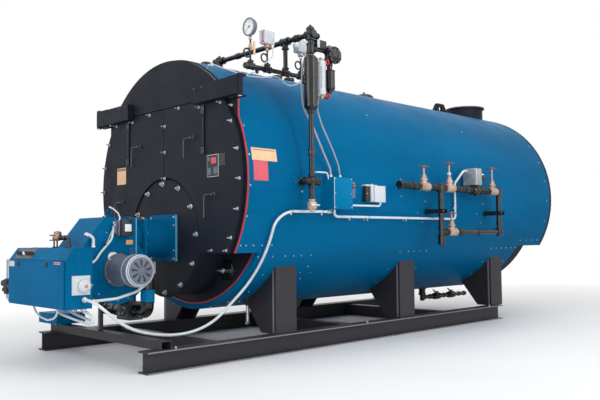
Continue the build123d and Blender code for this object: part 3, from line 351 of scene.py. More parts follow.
# Shapes
def bent(points, radius, parts=6):
    """A path of straight runs joined by arcs, for rigid pipe."""
    points = [Vector(p) for p in points]
    path = [points[0]]
    for before, corner, after in zip(points[:-2], points[1:-1], points[2:]):
        first, last = (before - corner).normalized(), (after - corner).normalized()
        half = first.angle(last) / 2
        reach = min(radius / math.tan(half), 0.49 * (before - corner).length, 0.49 * (after - corner).length)
        curve = reach * math.tan(half)
        middle = corner + (first + last).normalized() * curve / math.sin(half)
        start, end = corner + first * reach, corner + last * reach
        for i in range(parts + 1):
            path.append(middle + (start - middle).slerp(end - middle, i / parts).normalized() * curve)
    return path + [points[-1]]


def ring(centre, side, third, radius, steps, shift=0.0):
    """Points round a centre, in the plane of two directions."""
    turns = [math.tau * (i + shift) / steps for i in range(steps)]
    return [centre + radius * (math.cos(turn) * side + math.sin(turn) * third) for turn in turns]


def along_path(path):
    """The points of a path, each with the way the path runs there."""
    path = [Vector(p) for p in path]
    for i, point in enumerate(path):
        yield point, (path[min(i + 1, len(path) - 1)] - path[max(i - 1, 0)]).normalized()


SMOOTH_ANGLE = math.radians(38)
pieces = []


class Piece:
    """Collects closed shapes, in millimetres, for one object that rides on a body and may stand for a CAD node."""

    def __init__(self, name, finish, body="boiler", slot=None, replaces=None):
        self.name, self.finish, self.body, self.slot, self.replaces = name, finish, body, slot, replaces
        self.mesh = bmesh.new()
        pieces.append(self)

    def make(self):
        bmesh.ops.recalc_face_normals(self.mesh, faces=self.mesh.faces[:])
        data = bpy.data.meshes.new(self.name)
        self.mesh.to_mesh(data)
        self.mesh.free()
        data.transform(Matrix.Scale(1 / MM, 4))
        data.materials.append(self.finish)
        data.shade_smooth()
        data.set_sharp_from_angle(angle=SMOOTH_ANGLE)
        made = placed(self.name, data)
        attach(made, self.body)
        if self.replaces:
            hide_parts(self.replaces)

    def shell(self, rings, closed=False):
        """Joins rings of points into one closed skin, with the ends capped unless the rings close on themselves."""
        rows = [[self.mesh.verts.new(point) for point in points] for points in rings]
        pairs = list(zip(rows[:-1], rows[1:]))
        if closed:
            pairs.append((rows[-1], rows[0]))
        for first, last in pairs:
            count = max(len(first), len(last))
            for i in range(count):
                j = (i + 1) % count
                if len(first) == 1:
                    face = (first[0], last[j], last[i])
                elif len(last) == 1:
                    face = (first[i], first[j], last[0])
                else:
                    face = (first[i], first[j], last[j], last[i])
                self.mesh.faces.new(face)
        if not closed:
            for cap in (rows[0][::-1], rows[-1]):
                if len(cap) > 1:
                    self.mesh.faces.new(cap)
        return self

    def turned(self, start, axis, profile, steps=20, closed=False):
        """A turned solid: the profile is a row of distances along the axis, each with its radius."""
        along = Vector(axis).normalized()
        side = along.orthogonal().normalized()
        third = along.cross(side)
        rings = []
        for distance, radius in zip(profile[::2], profile[1::2]):
            centre = Vector(start) + along * distance
            rings.append(ring(centre, side, third, radius, steps, 0.5) if radius else [centre])
        return self.shell(rings, closed)

    def rod(self, start, end, radius, steps=14):
        way = Vector(end) - Vector(start)
        length = way.length
        edge = min(1.5, radius / 3, length / 3)
        rim = radius - edge
        return self.turned(start, way, (0, rim, edge, radius, length - edge, radius, length, rim), steps)

    def hexagon(self, start, axis, radius, height):
        """A nut or bolt head with turned corners."""
        rim = radius * 0.9
        return self.turned(start, axis, (0, rim, height * 0.14, radius, height * 0.8, radius, height, rim), 6)

    def bolt(self, start, axis, radius, stud=0):
        """Washer, nut and, where stud is given, the end of its stud."""
        way, start = Vector(axis).normalized(), Vector(start)
        thin = radius * 0.22
        self.turned(start, way, (0, radius * 1.35, thin, radius * 1.35, thin * 1.4, radius * 1.2), 16)
        self.hexagon(start + way * thin * 1.3, way, radius, radius * 0.95)
        if stud:
            self.rod(start + way * thin, start + way * (thin + radius + stud), radius * 0.5, 10)
        return self

    def screw(self, start, axis, radius):
        """A low pan head."""
        profile = (-1, radius, radius * 0.35, radius, radius * 0.7, radius * 0.62, radius * 0.8, 0)
        return self.turned(start, axis, profile, 8)

    def torus(self, centre, axis, radius, thick, steps=36, around=10):
        profile = []
        for i in range(around):
            turn = math.tau * i / around
            profile += [thick * math.sin(turn), radius + thick * math.cos(turn)]
        return self.turned(centre, axis, profile, steps, closed=True)

    def box(self, first, last, edge=2, segments=2):
        """A box between two opposite corners, with eased edges."""
        low = Vector([min(pair) for pair in zip(first, last)])
        high = Vector([max(pair) for pair in zip(first, last)])
        size = high - low
        matrix = Matrix.Translation((low + high) / 2) @ Matrix.Diagonal((*size, 1))
        corners = bmesh.ops.create_cube(self.mesh, size=1, matrix=matrix)["verts"]
        edge = min(edge, 0.3 * min(size))
        if edge > 0.3:
            edges = list({e for v in corners for e in v.link_edges})
            bmesh.ops.bevel(self.mesh, geom=edges, offset=edge, segments=segments, profile=0.5, affect="EDGES")
        return self

    def plate(self, outline, across, up, origin, depth):
        """An outline of pairs, drawn across and up from its origin, given a depth along across x up."""
        base = [Vector(origin) + across * a + up * b for a, b in outline]
        out = across.cross(up).normalized() * depth
        return self.shell([base, [point + out for point in base]])

    def tube(self, path, radius, steps=12):
        """A round bar or pipe along a path."""
        rings = []
        side = None
        for point, along in along_path(path):
            side = along.orthogonal().normalized() if side is None else (side - along * side.dot(along)).normalized()
            rings.append(ring(point, side, along.cross(side), radius, steps))
        return self.shell(rings)

    def strip(self, path, outward, width, thick):
        """A flat strip along a path: width along path x outward, thick along outward."""
        rings = []
        for point, along in along_path(path):
            out = outward(point)
            side = along.cross(out).normalized() * width / 2
            rings.append([point - side, point + side, point + side + out * thick, point - side + out * thick])
        return self.shell(rings)

    def sheet(self, high, low, front, rear, lift=0.0, thick=1.4, steps=10):
        """A thin sheet on the jacket between two angles."""
        rings = []
        for i in range(steps + 1):
            angle = high + (low - high) * i / steps
            first, out = on_shell(angle, front, lift - 1)
            last = on_shell(angle, rear, lift - 1)[0]
            rings.append([first, last, last + out * (thick + 1), first + out * (thick + 1)])
        return self.shell(rings)

    def band(self, centre, axis, inner, outer, width, steps=24):
        """A raised ring round a pipe."""
        way = Vector(axis).normalized()
        ease = min(3, width / 4)
        profile = (0, inner, 0, outer - ease, ease, outer, width - ease, outer, width, outer - ease, width, inner)
        return self.turned(Vector(centre) - way * width / 2, way, profile, steps, closed=True)

    def beads(self, centre, axis, radius, reach, sides=SIDES):
        """The thick rolled ends of a threaded fitting."""
        for side in sides:
            self.band(Vector(centre) + axis * side * (reach - 7), axis, radius - 4, radius + 5, 16)

    def branch(self, centre, way, radius, reach):
        """A branch of a fitting: a neck that swells into its rolled end."""
        neck = (0, radius * 0.9, reach - 22, radius * 0.86, reach - 16, radius + 4)
        self.turned(centre, way, neck + (reach - 3, radius + 5, reach, radius, reach, 0), 24)

    def union(self, centre, axis, radius):
        """A pipe union: a wide hexagon between two rolled collars."""
        centre = Vector(centre)
        self.hexagon(centre - axis * 13, axis, radius + 11, 26)
        for side in SIDES:
            self.band(centre + axis * side * 22, axis, radius - 3, radius + 6, 20)

    def square_plug(self, place, way, radius, side):
        self.turned(place, way, (-2, radius, 6, radius, 9, radius - 4, 9, 0), 24)
        self.turned(Vector(place) + way * 8, way, (0, side * 0.7, 16, side * 0.7, 18, side * 0.62), 4)

    def gland(self, place, way, across, seat, profile, steps=18):
        """A conduit fitting: a hexagon of a height seat, and a turned neck on it."""
        self.hexagon(place, way, across, seat)
        self.turned(Vector(place) + way * seat, way, profile, steps)


# Smokebox doors
STUD_CIRCLE = 1192
RIM_ANGLES = (25.5, 12.5, -0.5, -13.5, -26.5)
TOP_STUDS = ((260, 2372), (590, 2338), (920, 2338))
LOW_STUDS = (780, 1000)
SEAM_STUDS = (2222, 1961, 1700)
NUT, STUD = 12.5, 28
# the outer end of each latch handle and its length
HANDLES = {"left": ((-571, 2064, 190), (-908, 1497, 155)), "right": ((379, 2057, 175), (705, 1501, 200))}
LINING_RADIUS, LINING_HOLE, LINING_BOTTOM, LINING_SEAM = 1100, 660, 1030, 25


def lining_outline(sign):
    """Half a ring round the furnace plate, cut off at the seam and above the door's foot."""
    edge = [LINING_RADIUS * spoke("y", -35 + 77 * i / 32) for i in range(33)]
    edge = [(point.x, max(AXIS + point.z, LINING_BOTTOM)) for point in edge]
    hole = [LINING_HOLE * spoke("y", 90 - 96 * i / 16) for i in range(17)]
    hole = [(point.x, FURNACE + point.z) for point in hole if FURNACE + point.z > LINING_BOTTOM]
    outline = edge + [(LINING_SEAM, edge[-1][1]), (LINING_SEAM, hole[0][1])] + [p for p in hole if p[0] > 30]
    outline.append((hole[-1][0] + 4, LINING_BOTTOM))
    return [(sign * x, z) for x, z in outline]


def make_door(side, sign):
    body = "door_" + side
    nuts = Piece("door_nuts_" + side, ZINC, body)
    lugs = Piece("door_lugs_" + side, BLACK, body)
    for angle in RIM_ANGLES:
        out = spoke("y", angle)
        out.x *= sign
        nuts.bolt(vec(0, FRONT, AXIS) + out * STUD_CIRCLE, -Y, NUT, STUD)
        lugs.turned(vec(0, FRONT - 1.5, AXIS) + out * (STUD_CIRCLE - 6), Y, (0, 36, 3.5, 40, 10, 40), 20)
    for x, z in TOP_STUDS:
        nuts.bolt((sign * x, FRONT, z), -Y, NUT, STUD)
    for x in LOW_STUDS:
        nuts.bolt((sign * x, FRONT, DOOR_LOW.z + 24), -Y, NUT * 0.9, STUD)
    handles = Piece("door_handles_" + side, BLACKENED, body)
    proud = FRONT - 27
    for x, z, length in HANDLES[side]:
        handles.turned((x + 120, FRONT, z), -Y, (0, 22, 6, 22, 9, 13, 34, 13, 36, 11), 16)
        handles.tube(bent(((x + 120, proud, z), (x, proud, z), (x, proud, z - length)), 18), 6.8, 10)
        handles.turned((x, proud, z - length), -Z, (0, 6.8, 3, 8.5, 10, 8.5, 13, 5), 10)
    Piece("door_lining_" + side, LAGGING, body).plate(lining_outline(sign), X, Z, (0, DOOR_HIGH.y, 0), -21)
    cap = Piece("arm_cap_" + side, BLACK, body)
    cap.box((sign * 1236, FRONT - 66.5, 2366), (sign * 1244, FRONT - 7.5, 2523), 1.5)
    lip = Piece("arm_lip_" + side, BLACK, body)
    lip.box((sign * 577, FRONT - 69.5, 2366), (sign * 583, FRONT - 4.5, 2522.5), 1.5)
    arm_low, arm_high = span("davit_arm_" + side)
    x, face = sign * 668, FRONT - 12
    pads = Piece("strap_pads_" + side, BLACKENED, body)
    for low, high in ((1888, 1952), (2262, 2352)):
        pads.box((x - 21.5, face - 5, low), (x + 21.5, face, high), 1.5)
    fixings = Piece("arm_bolts_" + side, BLACKENED, body)
    for z in (1905, 1935, 2285, 2330):
        fixings.bolt((x, face - 5, z), -Y, 9.5)
    for distance in (610, 731):
        fixings.bolt((sign * distance, arm_low.y, 2493), -Y, 11, 6)
    # a dark plate for the slot in the strap: painted shade in its hollow
    slot = Piece("strap_slot_shade_" + side, RUBBER, body)
    slot.box((x - 6, face - 1.2, 1975), (x + 6, face + 1, 2240), 0.4)
    pin_x = (arm_low.x if sign < 0 else arm_high.x) - sign * 26
    low, high = span("hinge_bracket_" + side)
    pin = Piece("hinge_pin_ends_" + side, STEEL)
    pin.turned((pin_x, FRONT - 34, high.z), Z, (0, 20, 2, 21, 8, 19, 11, 12, 12, 0), 18)
    pin.turned((pin_x, FRONT - 34, low.z), -Z, (0, 20, 7, 19, 8, 0), 18)


def framed_plate(name, across, up, y, frame_finish, face_finish, body, border):
    """A blank plate with a narrow border and rivets, on a face that looks to the front."""
    Piece(name, frame_finish, body).box((across[0], y - 1.6, up[0]), (across[1], y + 0.5, up[1]), 0.6)
    across, up = (across[0] + border, across[1] - border), (up[0] + border, up[1] - border)
    Piece(name + "_face", face_finish, body).box((across[0], y - 2.2, up[0]), (across[1], y - 1.2, up[1]), 0.3)
    rivets = Piece(name + "_rivets", ZINC, body)
    for x, z in product(across, up):
        rivets.screw((x, y - 2, z), -Y, 3)


def make_door_plates():
    framed_plate("door_plate_left", (-905, -725), (1690, 1870), FRONT, CREAM, CREAM, "door_left", 4)
    framed_plate("door_plate_right", (720, 890), (1665, 1868), FRONT, WHITE, RUBBER, "door_right", 3.5)
    framed_plate("door_plate_small", (897, 985), (1760, 1868), FRONT, BLACKENED, RUBBER, "door_right", 3.5)
    line = Piece("door_plate_left_band", BROWN, "door_left")
    line.box((-898, FRONT - 2.8, 1836), (-732, FRONT - 1.8, 1862), 0.3)
    for name, finish, fields in (
        ("door_plate_square", PINK, ((785, 1785, 858, 1842),)),
        ("door_plate_panels", GREY, ((733, 1685, 778, 1748), (820, 1690, 876, 1752), (734, 1812, 764, 1846))),
        ("door_plate_bars", BLACKENED, [(909, z, 973, z + 8) for z in (1775, 1800, 1826, 1850)]),
    ):
        piece = Piece(name, finish, "door_right")
        for x_low, z_low, x_high, z_high in fields:
            piece.box((x_low, FRONT - 3.4, z_low), (x_high, FRONT - 1.8, z_high), 0.3)


make_door("left", -1)
make_door("right", 1)
seam_nuts = Piece("seam_nuts", ZINC, "door_right")
for seam_z in SEAM_STUDS:
    seam_nuts.bolt((18, FRONT, seam_z), -Y, NUT, STUD)
make_door_plates()


# Front flange, furnace plate and lower recess
SHOULDER_X, SHOULDER_TOP, FLANGE_FOOT = 1120, 2546, 965
HANDHOLE_X, HANDHOLE_Z = 580, 790
TUBE_PITCH = 92


def flange_outward(point):
    """The way out from the flange's edge: sideways at its shoulder, else from the axis."""
    if abs(point.x) <= SHOULDER_X + 0.5 and point.z > 2195:
        return vec(math.copysign(1, point.x), 0, 0)
    return radial(point)


def make_flange():
    trim = Piece("flange_trim", RED)
    meet = math.degrees(math.acos(SHOULDER_X / RADIUS))
    foot = math.degrees(math.asin((FLANGE_FOOT - AXIS) / RADIUS))
    line = arc(foot, meet, 36, RADIUS, (FLANGE_LOW.y + SHELL) / 2)
    line.append(vec(SHOULDER_X, line[0].y, SHOULDER_TOP))
    for sign in SIDES:
        path = [vec(sign * point.x, point.y, point.z) for point in line if point.z <= FLANGE_HIGH.z]
        trim.strip(path, flange_outward, 18, 1.6)
    recess = arc(-146, -34, 60, 1187, SHELL + 273 - 1.2)
    Piece("recess_trim", RED).strip(recess, lambda point: -Y, 13, 1.6)
    nuts = Piece("furnace_plate_nuts", ZINC)
    for angle in range(3, 363, 30):
        nuts.bolt(ring_point(angle, 539, FRONT + 7, FURNACE), -Y, 19, 14)
    bead = (0, 575, 3.5, 573, 3.5, 567, 0, 565)
    Piece("furnace_plate_bead", BLACK).turned((0, FRONT + 7.5, FURNACE), -Y, bead, 96, closed=True)
    nuts = Piece("shoulder_nuts", ZINC)
    for sign, z in product(SIDES, (2300, 2450)):
        nuts.bolt((sign * 1030, FLANGE_LOW.y - 1, z), -Y, 14, 8)


def handhole(cover, yoke, place, way):
    """A round handhole cover with its bead, and the yoke across it."""
    cover.turned(place, way, (0, 105, 10, 105, 14, 100, 14, 82, 22, 78, 26, 50, 28, 0), 36)
    cover.torus(place + way * 12, Y, 100, 7, 40, 8)
    yoke.box(place + way * 40 - vec(120, 0, 16), place + way * 58 + vec(120, 0, 16), 4)
    for x in (-112, 112):
        yoke.box(place + vec(x - 10, 0, -14), place + way * 50 + vec(x + 10, 0, 14), 3)


def make_tube_ends():
    """Fire tube ends above the smokebox floor, seen with the doors open."""
    tubes = Piece("tube_ends", IRON)
    sheet = span("front_tube_sheet")[0].y
    for row, column in product(range(13), range(-13, 14)):
        x = column * TUBE_PITCH + (TUBE_PITCH / 2 if row % 2 else 0)
        z = 1700 + row * TUBE_PITCH * 0.866
        if math.hypot(x, z - AXIS) < 1000 and math.hypot(x, z - FURNACE) > 610 and z < 2400:
            tubes.turned((x, sheet, z), -Y, (0, 36, 6, 35, 8, 32, 8, 26, 0.5, 25), 14, closed=True)


make_flange()
front_handhole = vec(HANDHOLE_X, FRONT + 345, HANDHOLE_Z)
handhole(Piece("handhole_cover", IRON), Piece("handhole_yoke", BLACKENED), front_handhole, -Y)
Piece("handhole_nut", ZINC).bolt(front_handhole - Y * 58, -Y, 20, 30)
make_tube_ends()


# Burner
BURNER_LOW, BURNER_HIGH = span("burner_tube")
BURNER_FACE = FRONT - 15
HOUSING_HIGH = span("blower_housing")[1]
SIDE, HOUSING_REAR, HOUSING_TOP = HOUSING_HIGH
MOTOR_LOW, MOTOR_HIGH = span("blower_motor")
FAN_Z = (MOTOR_LOW.z + MOTOR_HIGH.z) / 2
FAN = vec(0, FRONT - 638, FAN_Z)


def make_burner():
    bolts = Piece("burner_flange_bolts", ZINC)
    for x, z in product((-200, 200), (-200, -120, 120, 200)):
        bolts.bolt((x, BURNER_FACE, FURNACE + z), -Y, 9, 5)
    bolts = Piece("burner_ring_bolts", ZINC)
    for i in range(12):
        bolts.bolt(ring_point(i * 30 + 15, 196, HOUSING_REAR + 26, FURNACE), Y, 7)
    for x in (-50, 0, 50):
        bolts.screw((x + 30, FRONT - 250 + x, FURNACE + 184.5), Z, 6)
    bands = Piece("burner_tube_bands", BLUE)
    for back, profile in ((0, (0, 187, 0, 196, 12, 196, 16, 187)), (200, (0, 185.5, 0, 188.5, 24, 188.5, 24, 185.5))):
        bands.turned((0, BURNER_FACE - back, FURNACE), -Y, profile, 48, closed=True)
    # the flange's right edge as a lighter blue strip: a painted highlight
    edge_low = (BURNER_HIGH.x - 4, BURNER_FACE - 1.5, BURNER_LOW.z + 4)
    Piece("burner_flange_edge_highlight", HIGHLIGHT_BLUE).box(edge_low, (BURNER_HIGH.x + 1.2, BURNER_FACE + 18, BURNER_HIGH.z - 4), 1)
    port = (0, 20, 30, 20, 32, 28, 45, 28, 50, 20, 50, 0)
    Piece("sight_port", STEEL).turned((100, FRONT - 300, FURNACE + 155), (0.5, 0, 0.85), port, 18)


def make_housing():
    rear, top = HOUSING_REAR, HOUSING_TOP
    edge = Piece("housing_rear_band", BLUE)
    for low, high in ((SIDE - 4, SIDE + 0.5), (-SIDE, -SIDE + 4.5)):
        edge.box((low, rear - 30, FAN_Z + 100), (high, rear - 1, top - 2), 1)
    edge.box((-SIDE + 1, rear - 28, top - 1), (SIDE - 1, rear - 1, top + 2), 1)
    # a light strip on each side of the housing: a painted highlight that stands for a lit edge
    lip = Piece("housing_highlight_strip", HIGHLIGHT_BLUE)
    seams = Piece("scroll_seams", BLUE)
    screws = Piece("housing_screws", ZINC)
    for sign in SIDES:
        lip.box((sign * (SIDE - 2), FRONT - 461, FAN_Z + 120), (sign * (SIDE + 3.5), FRONT - 449, top - 2), 0.8)
        edge_x = vec(sign * (SIDE - 4), 0, 0)
        path = [FAN + edge_x + spoke("x", 180 + 175 * i / 48) * 304.5 for i in range(49)]
        seams.strip(path, lambda point: vec(0, point.y - FAN.y, point.z - FAN.z).normalized(), 6, 2)
        for i in range(9):
            screws.screw(FAN + X * sign * SIDE + spoke("x", 185 + 170 * i / 8) * 280, X * sign, 6)
        for y, z in ((755, 1160), (900, 1060), (660, 1010), (1020, 940)):
            screws.screw((sign * SIDE, FRONT - y, z), X * sign, 6)
    for x, y in product((-200, -100, 0, 100, 200), (500, 750)):
        screws.screw((x, FRONT - y, top), Z, 6)
    Piece("housing_label", ORANGE).box((SIDE - 0.5, FRONT - 560, 1052), (SIDE + 1.5, FRONT - 490, 1093), 0.5)
    eye = Piece("housing_lifting_eye", BLUE)
    eye.turned((0, FRONT - 600, top), Z, (0, 26, 6, 26, 10, 14, 30, 12), 16)
    eye.torus((0, FRONT - 600, top + 54), X, 27, 6.5, 28, 10)
    mount = Piece("motor_mount_plate", BLUE)
    mount.turned(FAN + X * SIDE, X, (0, 200, 3, 200, 5, 196, 5, 160, 0, 150), 56, closed=True)
    for i in range(8):
        mount.bolt(FAN + X * (SIDE + 5) + spoke("x", 22.5 + 45 * i) * 178, X, 7)
    Piece("shaft_cover", WHITE).turned((SIDE + 5, FRONT - 695, 935), X, (0, 52, 4, 52, 6, 48, 6, 0), 28)
    inlet = Piece("air_inlet_ring", BLUE)
    inlet.turned(FAN - X * SIDE, -X, (0, 215, 12, 215, 20, 205, 20, 165, 0, 150), 48, closed=True)
    guard = Piece("air_inlet_guard", STEEL)
    middle = FAN - X * (SIDE + 14)
    for radius in (30, 65, 100, 135, 165):
        guard.torus(middle, X, radius, 3, 40, 6)
    for i in range(4):
        reach = spoke("x", 45 * i) * 168
        guard.rod(middle - reach, middle + reach, 3.2, 8)


def make_motor():
    end = FAN + X * MOTOR_HIGH.x
    face = end - X
    rim = Piece("motor_cover_rim", PALE)
    rim.turned(end - X * 90, X, (0, 143.5, 2, 145, 7, 145, 9, 143.5), 48, closed=True)
    rim.turned(end - X * 16, X, (0, 142.5, 3, 143.5, 12, 137, 16.5, 126, 16.5, 118, 12, 115), 56, closed=True)
    guard = Piece("motor_fan_guard", GREY)
    guard.turned(face, X, (0, 119.5, 3, 119.5, 8, 100, 11, 60, 12, 0), 56)
    guard.turned(face + X * 11, X, (0, 26, 4, 24, 6, 18, 6, 0), 24)
    # dark plates on the guard's face for its openings: painted shade, the dark seen through the holes
    opening_shade = Piece("motor_guard_opening_shade", RUBBER)
    outline = ((-3.5, 36), (3.5, 36), (12.5, 88), (8.5, 100), (-8.5, 100), (-12.5, 88))
    for i in range(9):
        way = spoke("x", 40 * i + 12)
        opening_shade.plate(outline, way.cross(X), (way - X * 0.075).normalized(), face + X * 15.3, 1.2)
    eye = Piece("motor_eyebolt", BLACKENED)
    crown = FAN + vec(470, 0, (MOTOR_HIGH.z - MOTOR_LOW.z) / 2 - 18)
    eye.turned(crown - Z * 2, Z, (0, 13, 6, 13, 9, 7, 30, 6), 14)
    eye.torus(crown + Z * 45, X, 17, 4.2, 24, 8)
    wall = MOTOR_HIGH.y
    Piece("terminal_box_lid", PALE).box((406, wall - 1.5, FAN_Z - 32), (530, wall + 4, FAN_Z + 72), 3)
    screws = Piece("terminal_box_screws", ZINC)
    for x, z in product((415, 521), (-22, 62)):
        screws.screw((x, wall + 4, FAN_Z + z), Y, 4)
    bolts = Piece("motor_bolts", ZINC)
    for i in range(4):
        bolts.bolt(FAN + X * (SIDE + 22) + spoke("x", 45 + 90 * i) * 137, X, 8)
    edge = Piece("motor_flange_edge", GREY)
    edge.turned(FAN + X * (SIDE + 20), X, (0, 149.5, 2, 150.5, 4, 149.5), 48, closed=True)


def make_actuator():
    low, high = span("damper_actuator")
    front, rear = FRONT - 648, FRONT - 535
    case = Piece("actuator_case", RUBBER, slot="black_paint", replaces="damper_actuator")
    case.box((SIDE + 20, front, low.z + 8), (high.x - 4, rear, high.z), 5, segments=3)
    case.box((high.x - 6, front + 6, low.z + 14), (high.x, rear - 6, high.z - 6), 2.5)
    plate = Piece("actuator_plate", WHITE)
    plate.box((high.x - 1, rear - 82, high.z - 110), (high.x + 1.2, rear - 16, high.z - 44), 0.5)
    mount = Piece("actuator_mount", BLACKENED)
    mount.box((SIDE - 1, low.y + 4, low.z + 20), (SIDE + 5, rear + 18, high.z - 4), 1.5)
    mount.box((SIDE + 4, front + 12, low.z + 30), (SIDE + 21, rear - 12, high.z - 20), 2)
    bracket = Piece("actuator_bracket", GREY)
    bracket.box((SIDE, front - 20, low.z + 12), (high.x - 8, front - 13, high.z - 12), 2)
    bracket.box((SIDE, front - 52, low.z + 30), (SIDE + 35, front - 20, high.z - 30), 3)
    linkage = Piece("damper_linkage", STEEL)
    pivot = vec(SIDE + 50, low.y - 30, high.z - 50)
    foot = vec(SIDE, low.y - 100, 1060)
    linkage.rod(pivot - X * 20, pivot + X * 20, 9)
    linkage.rod(pivot + X * 12, foot + X * 50, 4.5, 10)
    linkage.rod(foot, foot + X * 55, 8)


make_burner()
make_housing()
make_motor()
make_actuator()


# Control cabinet
CAB_LOW, CAB_HIGH = span("control_cabinet")
COVER_LOW, COVER_HIGH = span("cabinet_cover")
# low corner across and up, width, height and depth of each part on the mounting panel
CABINET_GEAR = (
    (-500, 740, 140, 110, 90),
    (-330, 740, 90, 100, 80),
    (-220, 740, 90, 100, 80),
    (-80, 720, 200, 130, 100),
    (160, 740, 100, 100, 70),
    (290, 720, 160, 120, 90),
    (-500, 610, 400, 50, 45),
    (0, 610, 440, 50, 45),
)


def make_cover():
    face = COVER_LOW.y
    latches = Piece("cabinet_latches", RUBBER, "cover")
    for x in (-365, 208):
        latches.turned((x, face, 890), -Y, (0, 24, 4, 24, 7, 20, 7, 8, 12, 7, 12, 0), 24)
        latches.box((x - 4, face - 12.5, 872), (x + 4, face - 6, 908), 1.5)
    framed_plate("cabinet_plate_grey", (-570, -450), (862, 915), face, STEEL, PALE, "cover", 4)
    framed_plate("cabinet_plate_red", (352, 460), (895, 915), face, WHITE, PINK, "cover", 2)
    hinges = Piece("cover_hinges", BLUE, "cover")
    for x in (-450, -30, 390):
        hinges.rod((x - 40, face + 4, COVER_LOW.z - 4), (x + 40, face + 4, COVER_LOW.z - 4), 4, 10)
    gasket = Piece("cover_gasket", RUBBER, "cover")
    inner = COVER_HIGH.y - 0.2
    for z in (COVER_LOW.z + 35, COVER_HIGH.z - 50):
        gasket.box((COVER_LOW.x + 35, inner - 1, z), (COVER_HIGH.x - 35, inner + 0.6, z + 15), 0.2)


def make_switch_panel():
    """The panel with lamps and knobs on the slope over the cover."""
    low = vec(0, CAB_LOW.y, 930)
    up = (vec(0, CAB_LOW.y + 73.2, CAB_HIGH.z) - low).normalized()
    out = X.cross(up).normalized()
    outline = ((-500, 8), (-140, 8), (-140, 116), (-500, 116))
    Piece("switch_panel", BLACKENED).plate(outline, X, up, low + out * 0.2, 2.2)
    lamps = Piece("pilot_lamps", WHITE)
    knobs = Piece("switch_knobs", RUBBER)
    for x in (-465, -405, -345, -285, -230, -175):
        spot = low + out * 2.4 + X * x + up * 60
        if x == -345:
            lamps.turned(spot, out, (0, 17, 6, 17, 9, 13, 16, 12, 21, 7, 22, 0), 20)
        else:
            knobs.turned(spot, out, (0, 19, 5, 19, 7, 13, 20, 12, 22, 0), 20)
            knobs.box(spot + out * 24 - vec(3, 9, 6), spot + out * 24 + vec(3, 9, 6), 1)


def make_cabinet():
    left, right, back, top = CAB_LOW.x, CAB_HIGH.x, CAB_HIGH.y, CAB_HIGH.z
    seams = Piece("cabinet_seams", BLUE)
    seams.box((right - 0.5, CAB_LOW.y + 20, top - 4), (right + 1.5, back, top - 1), 0.4)
    seams.box((left + 1, back - 30, top - 0.5), (right - 1, back - 2, top + 1.5), 0.5)
    screws = Piece("cabinet_screws", BLUE)
    for y, z in product((30, 120, 210), (10, 380, 490)):
        if (y, z) != (30, 490):
            screws.screw((right, CAB_LOW.y + y, CAB_LOW.z + z), X, 4.5)
            screws.screw((left, CAB_LOW.y + y, CAB_LOW.z + z), -X, 4.5)
    for x in (-550, -300, 0, 300, 500):
        screws.screw((x, back - 15, top + 1), Z, 4.5)
    wall = back - 6
    Piece("mounting_panel", WHITE).box((-550, wall - 8, 580), (490, wall, 880), 1)
    gear = Piece("cabinet_gear", RUBBER)
    for x, z, width, height, depth in CABINET_GEAR:
        gear.box((x, wall - 8 - depth, z), (x + width, wall - 8, z + height), 4)
    wires = Piece("cabinet_wiring", COPPER)
    for i in range(12):
        x = -460 + 75 * i
        path = ((x, wall - 30, 660), (x, wall - 50, 690), (x + 30, wall - 50, 710), (x + 30, wall - 30, 745))
        wires.tube(bent(path, 10, 3), 2.5, 6)


def make_bell():
    low, high = span("alarm_bell")
    wall = low.x + 18
    Piece("bell_plate", PALE, slot="light_grey", replaces="alarm_bell").box(low, (wall, high.y, high.z), 4)
    middle = vec(wall, (low.y + high.y) / 2 + 22, (low.z + high.z) / 2 - 6)
    gong = (0, 40, 6, 54, 18, 56, 28, 53, 36, 43, 40, 26, 41, 12, 41, 0)
    Piece("bell_gong", PALE).turned(middle, X, gong, 40)
    Piece("bell_boss", COPPER).turned(middle + X * 39, X, (0, 17, 1.5, 17, 3, 11, 3, 0), 20)
    screws = Piece("bell_screws", ZINC)
    for y, z in product((low.y + 12, high.y - 12), (low.z + 12, high.z - 12)):
        screws.screw((wall, y, z), X, 5)


def fronted(*points):
    """Points whose second number counts from the door face."""
    return [vec(x, FRONT + y, z) for x, y, z in points]


def make_cabinet_conduits():
    top = CAB_HIGH.z
    conduits = Piece("burner_conduits", CONDUIT)
    rise = fronted((SIDE - 2, -955, 1143), (SIDE + 35, -945, 1143), (SIDE + 40, -905, 1110), (SIDE + 40, -905, top - 2))
    conduits.tube(bent(rise, 35), 13)
    fall = ((20, -690, 1255), (25, -705, 1190), (30, -720, 1100), (30, -830, 985), (30, -890, 900), (20, -1049, 860))
    conduits.tube(bent(fronted(*((SIDE + x, y, z) for x, y, z in fall)), 120, 8), 10.5)
    conduits = Piece("motor_conduit", CONDUIT)
    path = ((470, -463, -29), (470, -463, -110), (475, -600, -190), (490, -800, -235), (500, -950, -240))
    path = fronted(*((x, y, FAN_Z + z) for x, y, z in path + ((500, -1049, -240),)))
    conduits.tube(bent(path, 200, 8), 12.5)
    path = ((0, -600, 105), (70, -600, 85), (180, -610, 40), (SIDE + 35, -640, -10), (SIDE + 30, -660, -50))
    conduits.tube(bent(fronted(*((x, y, HOUSING_TOP + z) for x, y, z in path)), 50, 5), 7.5, 10)
    fittings = Piece("conduit_fittings", ZINC)
    for x, y, z, way in (
        (470, -463, FAN_Z - 30, -Z),
        (500, -1048, FAN_Z - 240, Y),
        (SIDE + 40, -905, top, Z),
        (SIDE, -955, 1143, X),
        (SIDE + 20, -1048, 860, Y),
    ):
        fittings.gland((x, FRONT + y, z), way, 21, 12, (0, 17.5, 14, 17.5, 17, 14.5))
    for place, way in ((LOOP_ROUTE[0], X), (LOOP_ROUTE[-1], -Y)):
        fittings.turned(place, way, (0, 24, 10, 24, 12, 20, 26, 20, 29, 16.5, 31, 13.5), 24)


make_cover()
make_switch_panel()
make_cabinet()
make_bell()
make_cabinet_conduits()


